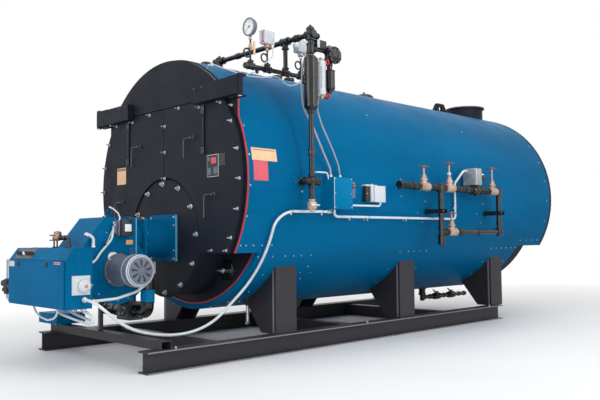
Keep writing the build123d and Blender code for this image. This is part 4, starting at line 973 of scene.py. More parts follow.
# Steam and water side piping
MANIFOLD_LOW, MANIFOLD_HIGH = span("control_manifold")
COLUMN_LOW, COLUMN_HIGH = span("water_column")
MANIFOLD_X = (MANIFOLD_LOW.x + MANIFOLD_HIGH.x) / 2
MANIFOLD_Z = MANIFOLD_LOW.z + 22
COLUMN_X = (COLUMN_LOW.x + COLUMN_HIGH.x) / 2
PIPE_Y = (COLUMN_LOW.y + COLUMN_HIGH.y) / 2
STEAM_Z = span("equalizing_pipe")[1].z - 65
ARM_Z = STEAM_Z - 130
COLUMN = vec(COLUMN_X, PIPE_Y, 0)


def make_steam_pipe():
    fittings = Piece("steam_pipe_fittings", IRON)
    cross = vec(0, PIPE_Y, STEAM_Z)
    fittings.beads(cross, X, 36, 76)
    fittings.band(cross + Z * 30, Z, 30, 41, 16)
    fittings.band(cross - Z * 62, Z, 30, 41, 16)
    fittings.square_plug(cross + Z * 36, Z, 30, 22)
    fittings.square_plug(cross - X * 76, -X, 30, 22)
    fittings.turned((0, PIPE_Y, CROWN - 4), Z, (0, 62, 9, 60, 20, 50, 34, 41, 34, 30), 32)
    for x in (320, 780):
        fittings.band(cross + X * x, X, 24, 32, 55)
    tee = cross + X * MANIFOLD_X
    fittings.beads(tee, X, 36, 50)
    fittings.branch(tee - Z * 20, -Z, 32, 58)
    fittings.union(cross + X * 1204, X, 28)
    corner = COLUMN + Z * STEAM_Z
    fittings.beads(corner, X, 36, 55, (-1,))
    fittings.beads(corner, Z, 36, 55)
    fittings.square_plug(corner + Z * 65, Z, 30, 22)
    fittings.band(corner + Y * 46, Y, 28, 40, 18)
    fittings.square_plug(corner + Y * 95, Y, 28, 22)
    arm = COLUMN + Z * ARM_Z
    fittings.beads(arm, Z, 36, 44)
    fittings.branch(arm + Y * 20, Y, 28, 46)
    fittings.branch((MANIFOLD_X, PIPE_Y, MANIFOLD_Z), Z, 30, 56)
    manifold = Piece("manifold_fittings", IRON)
    for offset in (262, 470, 705, 912):
        spot = vec(MANIFOLD_X, FRONT + offset, MANIFOLD_Z)
        manifold.turned(spot - Y * 36, Y, (0, 26, 0, 31, 70, 31, 72, 31, 72, 26), 24)
        manifold.beads(spot, Y, 29, 39)
        if offset != 705:
            manifold.branch(spot + Z * 10, Z, 26, 44)
    for offset, way in ((220, -Y), (935, Y)):
        # the end faces stand just clear of the solid's, so that only one of them shows
        manifold.turned((MANIFOLD_X, FRONT + offset, MANIFOLD_Z), way, (0, 20, 0, 30, 24, 30, 30.05, 26, 30.05, 0), 8)
    drain = (0, 20, 12, 20, 14, 15, 34, 15, 36, 11, 36, 0)
    manifold.turned((MANIFOLD_X, FRONT + 342, MANIFOLD_Z - 20), -Z, drain, 16)


def siphon(name, y, foot, top, radius, loop, loop_z):
    """A stem on the manifold with its siphon loop and the nut at its foot."""
    stem = Piece(name, IRON)
    stem.rod((MANIFOLD_X, y, foot), (MANIFOLD_X, y, top), radius)
    stem.torus((MANIFOLD_X, y - loop, MANIFOLD_Z + loop_z), X, loop, radius - 0.5, 32, 10)
    stem.hexagon((MANIFOLD_X, y, MANIFOLD_Z + 50), Z, 18, 16)


def make_gauge():
    low, high = span("pressure_gauge")
    middle = vec(MANIFOLD_X, low.y, high.z - 86)
    y = (low.y + high.y) / 2
    case = Piece("gauge_case", GREY, slot="light_grey", replaces="pressure_gauge")
    profile = (0, 50, 3, 74, 12, 79, 34, 80, 36, 85.5, 46, 86, 50, 83, 50, 76, 42, 73.5, 42, 0)
    case.turned(middle + Y * 50, -Y, profile, 56)
    case.turned((MANIFOLD_X, y, middle.z - 76), -Z, (0, 14, 20, 14, 22, 11), 6)
    Piece("gauge_dial", WHITE).turned(middle + Y * 8.5, -Y, (0, 73.5, 1, 73.5, 1, 0), 56)
    marks = Piece("gauge_marks", RUBBER)
    face = middle + Y * 7.3
    for i in range(41):
        way = spoke("y", 225 - 270 * i / 40)
        long, wide = (14, 1.4) if i % 5 == 0 else (7, 0.7)
        corners = ((-wide, 67 - long), (wide, 67 - long), (wide, 67), (-wide, 67))
        marks.plate(corners, way.cross(Y), way, face, -0.6)
    way = spoke("y", 215)
    needle = ((-4, -18), (4, -18), (2.2, 0), (0.8, 56), (-0.8, 56), (-2.2, 0))
    marks.plate(needle, way.cross(Y), way, face - Y, -0.8)
    marks.turned(face, -Y, (0, 8, 3, 8, 4, 5, 4, 0), 16)
    siphon("gauge_siphon", y, MANIFOLD_Z + 50, middle.z - 85, 9, 40, 120)
    cock = Piece("gauge_cock", BRASS)
    base = vec(MANIFOLD_X, y, MANIFOLD_Z + 180)
    plug = (0, 13, 10, 16, 16, 12, 22, 19, 42, 19, 48, 12, 54, 16, 64, 13)
    cock.turned(base - Z * 32, Z, plug, 20)
    cock.turned(base - X * 20, X, (0, 12, 4, 15, 36, 15, 40, 10), 16)
    cock.hexagon((MANIFOLD_X, y, middle.z - 118), Z, 17, 20)
    lever = Piece("gauge_cock_lever", CREAM)
    lever.box(base + vec(-5, 34, -65), base + vec(5, 58, 65), 3)
    lever.box(base + vec(-4, 0, -8), base + vec(4, 44, 8), 3)


def make_controls():
    low, high = span("pressure_controls")
    side = 130
    for name, y, top, metal, replaced in (
        ("limit_control", low.y, high.z, COPPER, "pressure_controls"),
        ("firing_control", high.y - side, high.z - 5, STEEL, None),
    ):
        base, middle = top - side, y + side / 2
        case = Piece(name + "_case", PALE, slot="grey_paint", replaces=replaced)
        case.box((MANIFOLD_X - 40, y + 4, base), (MANIFOLD_X + 40, y + side, top - 3), 8, segments=3)
        case.box((MANIFOLD_X - 36, y, base + 6), (MANIFOLD_X + 36, y + 10, top), 4)
        bellows = Piece(name + "_bellows", metal)
        for x, z in product((-30, 30), (base + 14, top - 14)):
            bellows.screw((MANIFOLD_X + x, y, z), -Y, 4)
        bellows.hexagon((MANIFOLD_X, middle, base), -Z, 22, 14)
        bellows.turned((MANIFOLD_X, middle, base - 14), -Z, (0, 30, 6, 32, 16, 30, 22, 16, 50, 14), 24)
        siphon(name + "_siphon", middle, MANIFOLD_Z + 40, base - 55, 8.5, 38, 108)
        hub = Piece(name + "_hub", WHITE)
        hub.turned((MANIFOLD_X + 18, middle + 50, base + 4), -Z, (0, 18, 12, 18, 14, 14, 28, 14, 30, 12), 18)
    face, base = low.y - 0.6, high.z - side
    scale = Piece("limit_control_scale", WHITE)
    scale.box((MANIFOLD_X - 30, face - 1, base + 22), (MANIFOLD_X - 2, face + 1, high.z - 12), 0.5)
    mark = Piece("limit_control_mark", PINK)
    mark.box((MANIFOLD_X + 4, face - 1, base + 30), (MANIFOLD_X + 11, face + 1, high.z - 18), 0.5)
    reset = (0, 10, 12, 10, 14, 7, 14, 0)
    Piece("limit_control_reset", PINK).turned((MANIFOLD_X + 20, face, base + 20), -Y, reset, 16)
    dome = (0, 34, 8, 34, 20, 30, 29, 20, 33, 8, 34, 0)
    Piece("firing_control_dome", WHITE).turned((MANIFOLD_X + 4, high.y - side, base + 62), -Y, dome, 32)


def make_column():
    trim = Piece("column_trim", IRON)
    bottom, top = COLUMN_LOW.z, COLUMN_HIGH.z
    for z, outer in ((bottom + 30, 65.8), (top - 30, 65.8), (top - 210, 65.2)):
        trim.band(COLUMN + Z * z, Z, 60, outer, 9, 40)
    trim.branch(COLUMN + Z * (top - 6), Z, 32, 40)
    trim.branch(COLUMN + Z * (bottom + 6), -Z, 32, 34)
    out = vec(-0.35, -0.94, 0).normalized()
    for z in (262, 302):
        trim.turned(COLUMN + Z * (bottom + z) + out * 58, out, (0, 14, 16, 14, 18, 10, 18, 0), 16)
    trim.box(COLUMN_LOW + vec(22, -6, 240), COLUMN_LOW + vec(52, 10, 325), 2)
    Piece("column_top_ring", STEEL).band(COLUMN + Z * (top + 0.5), Z, 26, 37, 4, 40)
    low = vec(COLUMN_X - 45, PIPE_Y + 60, ARM_Z + 12)
    high = vec(COLUMN_X + 30, PIPE_Y + 190, ARM_Z + 94)
    Piece("level_switch_box", RUBBER).box(low, high, 6)
    cover = Piece("level_switch_cover", PALE)
    cover.box(low + vec(4, -5, 3), (low.x + 34, low.y + 2, high.z - 3), 2)
    cover.box((high.x - 3, low.y + 4, low.z + 4), (high.x + 1, low.y + 36, high.z - 4), 1)


def make_glass():
    low, high = span("gauge_glass")
    x, y = high.x - 44, high.y - 44
    bottom, top = low.z + 30, high.z - 30
    length = top - bottom
    foot, head = vec(x, y, bottom), vec(x, y, top)
    guard = Piece("gauge_glass_guard", PALE, slot="light_grey", replaces="gauge_glass")
    profile = (0, 20, 0, 34, 6, 41, 20, 43, length - 20, 43, length - 6, 41, length, 34, length, 20)
    guard.turned(foot, Z, profile, 40)
    slots = Piece("gauge_glass_slots", STEEL)
    outline = ((-6, 60), (6, 60), (6, length - 60), (-6, length - 60))
    for turn in range(15, 375, 60):
        way = spoke("z", turn)
        slots.plate(outline, Z.cross(way), Z, foot + way * 42.2, 1.2)
    rings = Piece("gauge_glass_rings", ZINC)
    for z in (bottom + 26, (bottom + top) / 2, top - 26):
        rings.band((x, y, z), Z, 40, 44, 8, 40)
    valves = Piece("gauge_glass_valves", BRASS)
    handles = Piece("gauge_glass_handles", RED)
    body = (0, 14, 4, 19, 14, 20, 20, 16, 40, 16, 46, 20, 56, 19, 60, 14)
    for middle, way in ((foot, -1), (head, 1)):
        valves.turned(middle - Z * 30, Z, body, 20)
        valves.hexagon(middle + Z * (way * 24 - 6), Z, 23, 14)
        valves.rod((COLUMN_X + 12, PIPE_Y + 50, middle.z), middle, 13)
        valves.hexagon((COLUMN_X + 16.5, PIPE_Y + 66, middle.z), (0.26, 0.96, 0), 20, 14)
        valves.turned(middle, Y, (0, 16, 30, 16, 34, 12, 50, 8.5, 78, 7), 16)
        valves.turned(middle, X, (0, 14, 20, 14, 24, 9, 36, 6), 16)
        spot = middle + Y * 78
        handles.torus(spot, Y, 26, 7.5, 28, 10)
        handles.turned(spot - Y * 6, Y, (0, 10, 14, 10, 16, 6, 16, 0), 14)
        for i in range(3):
            handles.rod(spot, spot + spoke("y", 120 * i + 30) * 26, 4, 8)
    valves.rod(foot - Z * 30, (x, y, low.z - 12), 8)


def make_cutoff():
    low, high = span("auxiliary_cutoff")
    y = high.y - 52
    trim = Piece("cutoff_trim", IRON)
    for z, inner, outer, width, steps in (
        (ARM_Z - 62, 44, 52, 14, 36),
        (low.z + 190, 46, 55, 12, 36),
        (low.z + 30, 46, 54.5, 10, 36),
        (low.z + 250, 26, 33, 20, 30),
    ):
        trim.band((COLUMN_X, y, z), Z, inner, outer, width, steps)
    trim.turned((COLUMN_X, y, low.z), -Z, (0, 30, 12, 30, 16, 20, 30, 20, 30, 0), 6)
    trim.turned((COLUMN_X, y, high.z), Z, (-2, 22, 6, 22, 10, 12, 14, 0), 24)
    trim.band((COLUMN_X, y - 50, ARM_Z), Y, 16, 26, 20)
    head = vec(COLUMN_X + 20, y + 20, ARM_Z - 30)
    trim.turned(head, X, (0, 50, 20, 60, 24, 84, 42, 84, 46, 60, 60, 50, 66, 30, 70, 0), 36)
    for i in range(8):
        trim.hexagon(head + X * 42 + spoke("x", 45 * i + 22.5) * 71, X, 9, 10)
    bolts = Piece("cutoff_bolts", ZINC)
    for i in range(6):
        bolts.bolt(vec(COLUMN_X, y, high.z - 16.5) + spoke("z", 60 * i + 20) * 36, Z, 6)


def make_drain():
    cross = COLUMN + Z * (span("column_drain")[0].z + 164)
    fittings = Piece("drain_fittings", IRON)
    for reach in (95, 45):
        fittings.beads(cross, Y, 32, reach)
    for way, reach in ((Z, 60), (-Z, 60), (-X, 55)):
        fittings.branch(cross, way, 30, reach)
    for way in (-Y, Y):
        fittings.square_plug(cross + way * 95, way, 26, 20)
    fittings.union(cross + Z * 270, Z, 29)
    fittings.band(cross - Z * 150, Z, 24, 32, 30)
    fittings.turned((RADIUS - 2, PIPE_Y, cross.z), X, (0, 44, 6, 44, 10, 34, 22, 31, 22, 20), 28)
    valve_low, valve_high = span("drain_valve")
    middle = COLUMN + Z * (valve_high.z - 60)
    out = vec(0.8, -0.6, 0)
    trim = Piece("drain_valve_trim", BRASS)
    for z in (41, -59):
        trim.hexagon(middle + Z * z, Z, 33, 18)
    trim.turned(middle, out, (0, 30, 50, 30, 54, 24, 62, 14, 74, 12), 20)
    trim.hexagon(COLUMN + Z * (valve_low.z + 12), Z, 30, 20)
    grip = middle + out * 68
    Piece("drain_valve_lever", ZINC).box(grip - vec(7, 30, 10), grip + vec(7, 85, 10), 4)


make_steam_pipe()
make_gauge()
make_controls()
make_column()
make_glass()
make_cutoff()
make_drain()


# Boxes and conduit on the right side of the jacket
JUNCTION_HIGH = span("junction_box")[1]
JUNCTION_FRONT = FRONT + 1016
JUNCTION_BASE = AXIS - 265
JACKET_LINE_X = 1274


def make_junction_box():
    x, rear, top = JUNCTION_HIGH
    front, base = JUNCTION_FRONT, JUNCTION_BASE
    cover = Piece("junction_box_cover", BRIGHT_BLUE)
    cover.box((x - 3, front + 4, base + 4), (x + 1.6, rear - 4, top - 4), 1.2)
    cover.box((RADIUS + 12, front - 1.5, top - 6), (x, rear + 1.5, top + 1.5), 1)
    Piece("junction_box_edge", PALE).box((x - 1, front - 1, base + 2), (x + 2.8, front + 5, top - 2), 1)
    screws = Piece("junction_box_screws", ZINC)
    for y, z in product((front + 16, rear - 16), (base + 16, (base + top) / 2, top - 16)):
        screws.screw((x + 1.6, y, z), X, 5.5)
    hubs = Piece("junction_box_hubs", ZINC)
    socket = vec(RADIUS + 50, front + 29, base)
    hubs.band(socket - Z * 3, Z, 16, 25, 6, 6)
    hubs.turned(socket - Z * 25, -Y, (12, 19, 30, 19, 32, 22, 37, 22, 39, 18), 20)
    for place, way in (
        ((JACKET_LINE_X, FRONT + 1118, base), -Z),
        ((1300, FRONT + 1048, top), Z),
        ((1300, FRONT + 1180, top), Z),
        ((1295, rear, base + 45), Y),
    ):
        hubs.gland(place, way, 20, 9, (0, 16.5, 14, 16.5, 17, 13.5))


def make_shell_conduits():
    top = JUNCTION_HIGH.z + 10
    fall = [
        COLUMN + vec(-50, 100, ARM_Z + 50),
        (1305, PIPE_Y + 45, ARM_Z),
        (1297, PIPE_Y - 20, 2720),
        (1297, PIPE_Y - 34, 2500),
        (1300, PIPE_Y - 20, 2320),
        (1300, PIPE_Y + 100, 2160),
        (1300, PIPE_Y + 278, 1860),
    ]
    Piece("column_conduit_front", DULL_CONDUIT).tube(
        bent(fall + fronted((1300, 1045, 1760), (1300, 1048, top)), 200, 6), 10.5
    )
    fall = ((COLUMN_X - 30, 930, 2560), (1320, 890, 2470), (1300, 860, 2340), (1300, 930, 2180))
    fall += ((1300, 1080, 1950), (1300, 1160, 1800), (1300, 1180, top))
    Piece("column_conduit_rear", DULL_CONDUIT).tube(bent(fronted(*fall), 200, 6), 8.5)
    lines = Piece("jacket_conduits", CONDUIT)
    path = fronted((RADIUS - 20, 874, 1722), (1300, 874, 1722), (1300, 1000, 1722), (1300, 1020, 1660))
    lines.tube(bent(path, 30), 8)
    base = JUNCTION_BASE
    path = [vec(1295, JUNCTION_HIGH.y, base + 45)] + fronted((1295, 1790, base + 50), (1295, 1800, 1470))
    lines.tube(bent(path, 25), 10.5)


def make_control_leads():
    """Thin leads from the controls on the manifold to the column and over the crown."""
    lead = Piece("control_lead", CONDUIT)
    path = fronted(
        (490, 190, 2774), (510, 205, 2806), (600, 270, 2757), (700, 315, 2714), (800, 335, 2670),
        (900, 360, 2635), (1000, 450, 2620), (1000, 599, 2655), (1000, 668, 2643), (1000, 750, 2595),
        (1000, 822, 2593), (1000, 900, 2620), (1000, 980, 2680), (1030, 1010, 2780), (1058, 965, 2895),
    )  # fmt: skip
    lead.tube(bent(path, 150, 5), 6.2, 8)
    lead.turned(path[0], path[1] - path[0], (-10, 16, 12, 16, 14, 12, 26, 11), 16)
    low, high = span("pressure_controls")
    start = vec(MANIFOLD_X, low.y + 115, high.z - 160)
    path = [start + vec(*step) for step in ((18, 0, 0), (20, 12, -60), (16, -50, -130), (10, -150, -195))]
    lead.tube(bent(path + fronted((930, 470, 2700), (860, 360, 2660)), 100, 5), 5.5, 8)


def make_clips():
    clips = Piece("conduit_clips", ZINC)
    screws = Piece("conduit_clip_screws", ZINC)
    z = span("jacket_conduit")[0].z + 13
    for y in (1356, 1629, 2276, 2900):
        y += FRONT
        clips.band((JACKET_LINE_X, y, z), Y, 12, 15.5, 20, 20)
        clips.box((RADIUS - 70, y - 10, z - 36), (1262, y + 10, z - 32), 1)
        clips.box((1258, y - 10, z - 36), (1262, y + 10, z - 6), 1)
        screws.screw((1262, y, z - 24), X, 5.5)
    y = span("feed_control_valve")[0].y - 150
    for z in (1420, 1620):
        clips.box((RADIUS - 30, y - 12, z), (1262, y + 12, z + 4), 1)
        clips.band((JACKET_LINE_X, y, z + 10), Z, 12, 15.5, 20, 20)
    straps = Piece("loop_straps", ZINC)
    screws = Piece("loop_strap_screws", ZINC)
    for y, x, z in ((560, 1263.5, 1343), (930, 1300, 1345)):
        y += FRONT
        straps.band((x, y, z), Y, 13.2, 15.8, 20, 24)
        straps.box((RADIUS - 50, y - 10, z - 34), (x - 8, y + 10, z - 30.5), 1)
        straps.box((x - 12, y - 10, z - 34), (x - 8.5, y + 10, z - 12.5), 1)
        screws.screw((x - 8.5, y, z - 23), X, 5)


def make_small_control():
    low, high = span("small_control")
    front, rear, x, base, top = low.y, high.y, high.x, low.z, high.z
    case = Piece("starter_box", PALE, slot="light_grey", replaces="small_control")
    case.box((RADIUS - 30, front + 70, base + 4), (x - 20, rear, top - 4), 4)
    cover = Piece("starter_cover", PALE)
    cover.box((x - 22, front + 100, base), (x, rear, top - 6), 5, segments=3)
    cover.box((RADIUS - 20, front - 5, top - 12), (x - 30, rear - 100, top + 4), 2)
    Piece("starter_transformer", RUBBER).box((RADIUS - 30, front, base + 6), (x - 35, front + 69, top - 6), 4)
    trim = Piece("starter_screws", ZINC)
    trim.screw((x, rear - 16, base + 20), X, 5)
    trim.screw((x, rear - 16, top - 26), X, 5)
    trim.screw((x - 35, front + 20, base + 85), X, 6)
    trim.turned((RADIUS + 30, front + 110, top + 2), Z, (0, 14, 10, 14, 14, 8, 14, 0), 16)
    trim.turned((1295, rear - 48, base + 2), -Z, (0, 18, 10, 18, 12, 14, 20, 13), 18)
    y = FRONT + 1416
    Piece("reset_station", GREY).box((RADIUS - 4, y - 32, 1490), (RADIUS + 12, y + 32, 1655), 3)
    Piece("reset_bezel", RUBBER).turned((RADIUS + 12, y, 1613), X, (0, 24, 8, 24, 10, 20, 10, 0), 28)
    Piece("reset_button", PINK).turned((RADIUS + 20, y, 1613), X, (0, 14, 8, 14, 10, 10, 11, 0), 24)
    screws = Piece("reset_screws", ZINC)
    for z in (1503, 1642):
        screws.screw((RADIUS + 12, y, z), X, 5)


make_junction_box()
make_shell_conduits()
make_control_leads()
make_clips()
make_small_control()


# Feed water train
TRAIN_X = 1420
TRAIN_Z = AXIS + 7
BYPASS_Z = TRAIN_Z - 494
DROP_Y, TRAIN_END = FRONT + 2705, FRONT + 3930
FEED_LOW = span("feed_pipe")[0]
# distance behind the door face and height of each valve
VALVES = {"front": (2395, TRAIN_Z), "middle": (2876, TRAIN_Z), "rear": (3787, TRAIN_Z), "bypass": (2905, BYPASS_Z)}


def make_train():
    fittings = Piece("feed_fittings", IRON)
    for i in range(5):
        fittings.band((TRAIN_X, FEED_LOW.y + 50 + 34 * i, TRAIN_Z), Y, 28, 38 if i % 2 else 35.5, 20)
    fittings.band((TRAIN_X, FEED_LOW.y + 6, TRAIN_Z), Y, 36, 44, 12)
    for level, offsets in (
        (TRAIN_Z, (2290, 2500, 2560, 2620, 2780, 3000, 3060, 3140, 3300, 3580, 3640, 3690, 3870)),
        (BYPASS_Z, (2810, 3050, 3450)),
    ):
        for offset in offsets:
            fittings.band((TRAIN_X, FRONT + offset, level), Y, 28, 37.5, 26)
    for offset, level in ((3220, TRAIN_Z), (2220, TRAIN_Z), (3100, BYPASS_Z)):
        fittings.union((TRAIN_X, FRONT + offset, level), Y, 33)
    for y, z, side in product((DROP_Y, TRAIN_END), (TRAIN_Z, BYPASS_Z), (40, -40)):
        fittings.band((TRAIN_X, y, z + side), Z, 36, 45.5, 14)
    fittings.branch((TRAIN_X, DROP_Y, TRAIN_Z), -Y, 36, 62)
    for z in (TRAIN_Z, BYPASS_Z):
        fittings.branch((TRAIN_X, DROP_Y, z), Y, 36, 62)
        fittings.branch((TRAIN_X, TRAIN_END, z), -Y, 36, 62)
    for z in (-53, -123):
        fittings.band((TRAIN_X, DROP_Y, BYPASS_Z + z), Z, 36, 45.5, 14)
    fittings.square_plug((TRAIN_X, DROP_Y, FEED_LOW.z + 1), -Z, 30, 22)
    clamps = Piece("pipe_u_bolts", ZINC)
    inner, outer, z = TRAIN_X - 60, TRAIN_X + 34, 1384
    for y in (DROP_Y, TRAIN_END):
        for height in (1260, 1500):
            fittings.band((TRAIN_X, y, height), Z, 28, 34.5, 30)
        clamps.tube(bent(((inner, y - 36, z), (outer, y - 36, z), (outer, y + 36, z), (inner, y + 36, z)), 30), 4, 8)


def make_valves():
    """Gate valves: bodies with hexagon ends, bonnets, stems, and the handwheels that turn."""
    brass = Piece("valve_bonnets", BRASS)
    stems = Piece("valve_stems", STEEL)
    bonnet = (0, 36, 30, 33, 36, 42, 48, 42, 52, 42, 60, 34, 74, 26, 92, 22)
    hub = (0, 10.5, 0, 16, 3, 18, 12, 18, 15, 15, 15, 10.5)
    for name, (offset, level) in VALVES.items():
        low, high = span("handwheel_" + name)
        centre = vec(TRAIN_X, FRONT + offset, level)
        middle = vec(TRAIN_X, FRONT + offset, (low.z + high.z) / 2)
        for way in (-Y, Y):
            brass.turned(centre + way * 52, way, (0, 44, 6, 49, 24, 49, 28, 44, 28, 31), 6)
        brass.turned(centre + Z * 30, Z, bonnet, 24)
        brass.hexagon(centre + Z * 88, Z, 28, 20)
        brass.turned(centre + Z * 106, Z, (0, 19, 24, 17, 28, 20, 34, 20, 38, 13), 20)
        stems.rod(centre + Z * 120, middle + Z * 13, 8.5)
        body = "wheel_" + name
        wheel = Piece("valve_wheel_" + name, WHEEL_RED, body, slot="red_paint", replaces="handwheel_" + name)
        rim = high.x - TRAIN_X - 6.2
        wheel.torus(middle, Z, rim, 6, 44, 10)
        wheel.turned(middle - Z * 7.5, Z, hub, 24, closed=True)
        for i in range(5):
            way = spoke("z", 72 * i + 20)
            wheel.tube([middle + way * 15, middle + way * 30 - Z * 3, middle + way * (rim - 1)], 4.2, 8)
        Piece("valve_wheel_nut_" + name, ZINC, body).hexagon(middle + Z * 7.8, Z, 9.5, 5.5)
    gland = (0, 12, 8, 21, 20, 24, 32, 21, 40, 12)
    Piece("valve_gland", PALE).turned((TRAIN_X, FRONT + VALVES["middle"][0], TRAIN_Z + 145), Z, gland, 24)


def make_operator():
    low, high = span("feed_control_valve")
    front, rear, base, top = FRONT + 3350, FRONT + 3470, high.z - 200, high.z
    case = Piece("operator_case", BRUSHED, slot="grey_paint", replaces="feed_control_valve")
    case.box((low.x, front, base), (high.x, rear, top), 10, segments=3)
    seam = Piece("operator_lid_seam", RUBBER)
    seam.box((low.x - 0.5, front + 30, base - 0.5), (high.x + 0.5, front + 36, top + 0.5), 1.2)
    trim = Piece("operator_screws", ZINC)
    for x, z in product((low.x + 20, high.x - 20), (base + 20, top - 20)):
        trim.screw((x, front, z), -Y, 7)
    trim.gland((low.x + 55, front, top - 30), -Y, 21, 10, (0, 17, 14, 17, 17, 14))
    body = Piece("control_valve_body", IRON)
    middle = vec(TRAIN_X, FRONT + 3430, TRAIN_Z)
    body.turned(middle + Z * 20, Z, (0, 40, 30, 36, 34, 50, 46, 50, 48, 30, 70, 28), 28)
    for way in (-Y, Y):
        body.turned(middle + way * 60, way, (0, 46, 10, 53, 34, 53, 38, 46, 38, 30), 28)
    body.turned(middle - Y * 60, Y, (0, 40, 30, 50, 60, 53, 90, 50, 120, 40), 32)
    body.turned(middle - Z * 30, -Z, (0, 34, 26, 34, 30, 28, 36, 12), 8)
    plug = Piece("operator_connector", RUBBER)
    plug.box((1430, rear - 40, top - 150), (1470, rear + 12, top - 60), 4)
    plug.box((1425, rear + 12, top - 135), (1475, rear + 70, top - 75), 6)
    plug.turned((1450, rear + 70, top - 105), Y, (0, 26, 30, 26, 36, 20, 50, 14), 20)
    cap = Piece("operator_connector_cap", WHITE)
    cap.turned((1450, rear + 45, top - 75), Z, (0, 22, 12, 22, 16, 16, 16, 0), 20)


make_train()
make_valves()
make_operator()


# Jacket: sheet screws, edge trims, blank plates. Screws are angles and distances behind the door face.
FRONT_SEAM, REAR_SEAM = 75, 5507
SCREW_ROWS = (
    (-28.8, (86, 149, 235, 340, 458)),
    (-34.6, (347, 528, 690, 801, 904, 1038)),
    (-34.1, (2449, 2603, 2705, 2810, 2945)),
    (-33.7, (4365, 4489, 4613, 4737, 4860, 4984)),
    (-28.5, (5022, 5175, 5329, 5482)),
)
SADDLE_SCREWS = (
    (-45.3, 534), (-57.8, 535), (-68.9, 590), (-68.1, 444), (-75.5, 340), (-41.2, 1079), (-45.3, 1025),
    (-45.6, 1179), (-49.4, 1091), (-46.1, 2436), (-57.2, 2447), (-67.5, 2427), (-46.1, 2956), (-44.6, 4377),
    (-55.7, 4374), (-68.7, 4449), (-44.4, 4893),
)  # fmt: skip
RIGHT_SCREWS = (
    (-0.8, 630), (-4.7, 711), (-0.6, 1561), (-16.6, 1645), (4.0, 2207), (-0.2, 2131), (-4.4, 2216),
    (-6.4, 2652), (-12.4, 2533), (-17.2, 2659), (-16.3, 2298), (-6.3, 3863), (-12.1, 3741), (-17.1, 3867),
)  # fmt: skip
JACKET_CUT = math.degrees(math.asin((span("rear_cover")[0].z - AXIS) / RADIUS))


def make_jacket_screws():
    """Hexagon heads with their sealing washers."""
    places = [(-15.9 + 12.62 * k, FRONT_SEAM) for k in range(18)]
    places += [(-15.2 + 12.95 * k, REAR_SEAM) for k in range(17)]
    mirrored = [(angle, y) for angle, offsets in SCREW_ROWS for y in offsets] + list(SADDLE_SCREWS)
    places += mirrored + [(180 - angle, y) for angle, y in mirrored] + list(RIGHT_SCREWS)
    places += product((40, 66, 114, 140, 160, 178), (2000, 3860))
    screws = Piece("jacket_screws", ZINC)
    for angle, y in places:
        place, out = on_shell(angle, y, -0.6)
        screws.turned(place, out, (0, 9.5, 1.8, 9, 2, 6.8, 6.5, 6.4, 6.5, 0), 6)


def make_jacket_sheets():
    Piece("jacket_plate_cream", CREAM).sheet(12.5, 7.2, 105, 403)
    Piece("jacket_plate_line", BROWN).sheet(11.9, 11.55, 120, 388, 0.4)
    Piece("jacket_plate_red", PINK).sheet(7.1, -1.1, 115, 285)
    trim = Piece("jacket_rear_trim", BLACK)
    trim.strip(arc(JACKET_CUT, 180 - JACKET_CUT, 96, RADIUS, REAR - 13), radial, 26, 1.6)
    trim.strip(arc(180 - JACKET_CUT, 360 + JACKET_CUT, 48, RADIUS, REAR - 532), radial, 160, 1.6)
    laps = Piece("jacket_laps", BLUE)
    for y, first in ((43, JACKET_CUT + 2), (1925, 22), (3790, 22)):
        laps.strip(arc(first, 180 - first, 64, RADIUS, FRONT + y), radial, 4, 0.9)
    low, high = span("arch_plate")
    radius = high.z - AXIS
    start = math.degrees(math.acos(high.x / radius)) + 0.2
    edge = arc(start, 180 - start, 72, radius, (low.y + high.y) / 2 + 4)
    Piece("arch_edge", BLACKENED).strip(edge, radial, 30, 1.2)


# Fittings on the crown
def make_crown():
    low, high = span("manway")
    base = vec(0, (low.y + high.y) / 2 - 40, CROWN - 12)
    rise = high.z - base.z
    cover = Piece("manway_cover", IRON, slot="black_paint", replaces="manway")
    dome = (0, 152, 18, 150, 26, 128, 46, 126, 60, 119, 75, 100, 86, 70, 92.5, 35, 94, 0)
    cover.turned(base, Z, dome, 56)
    fixings = Piece("manway_fixings", BLACKENED)
    for i in range(8):
        fixings.bolt(base + Z * 17 + spoke("z", 45 * i + 22.5) * 139, Z, 6.5, 3)
    knob = (0, 16, 6, 16, 8, 11, 14, 11, 17, 19, rise - 94, 19, rise - 90, 12, rise - 90, 0)
    fixings.turned(base + Z * 90, Z, knob, 20)
    caps = Piece("nozzle_caps", IRON)
    for offset in (1540, 1730):
        place = vec(0, FRONT + offset, span("relief_nozzles")[1].z)
        caps.turned(place - Z * 30, Z, (0, 60.2, 2, 63, 22, 63, 30, 56), 36)
        caps.turned(place - Z, Z, (0, 56, 4, 50, 6, 30, 6, 0), 36)
        caps.turned((0, place.y, CROWN - 6), Z, (0, 86, 8, 84, 20, 68, 24, 60.2), 40)
    nozzle = (0, 66, 10, 64, 20, 48, 40, 46, 42, 53, 78, 53, 86, 46, 88, 0)
    caps.turned((0, FRONT + 525, CROWN - 8), Z, nozzle, 32)


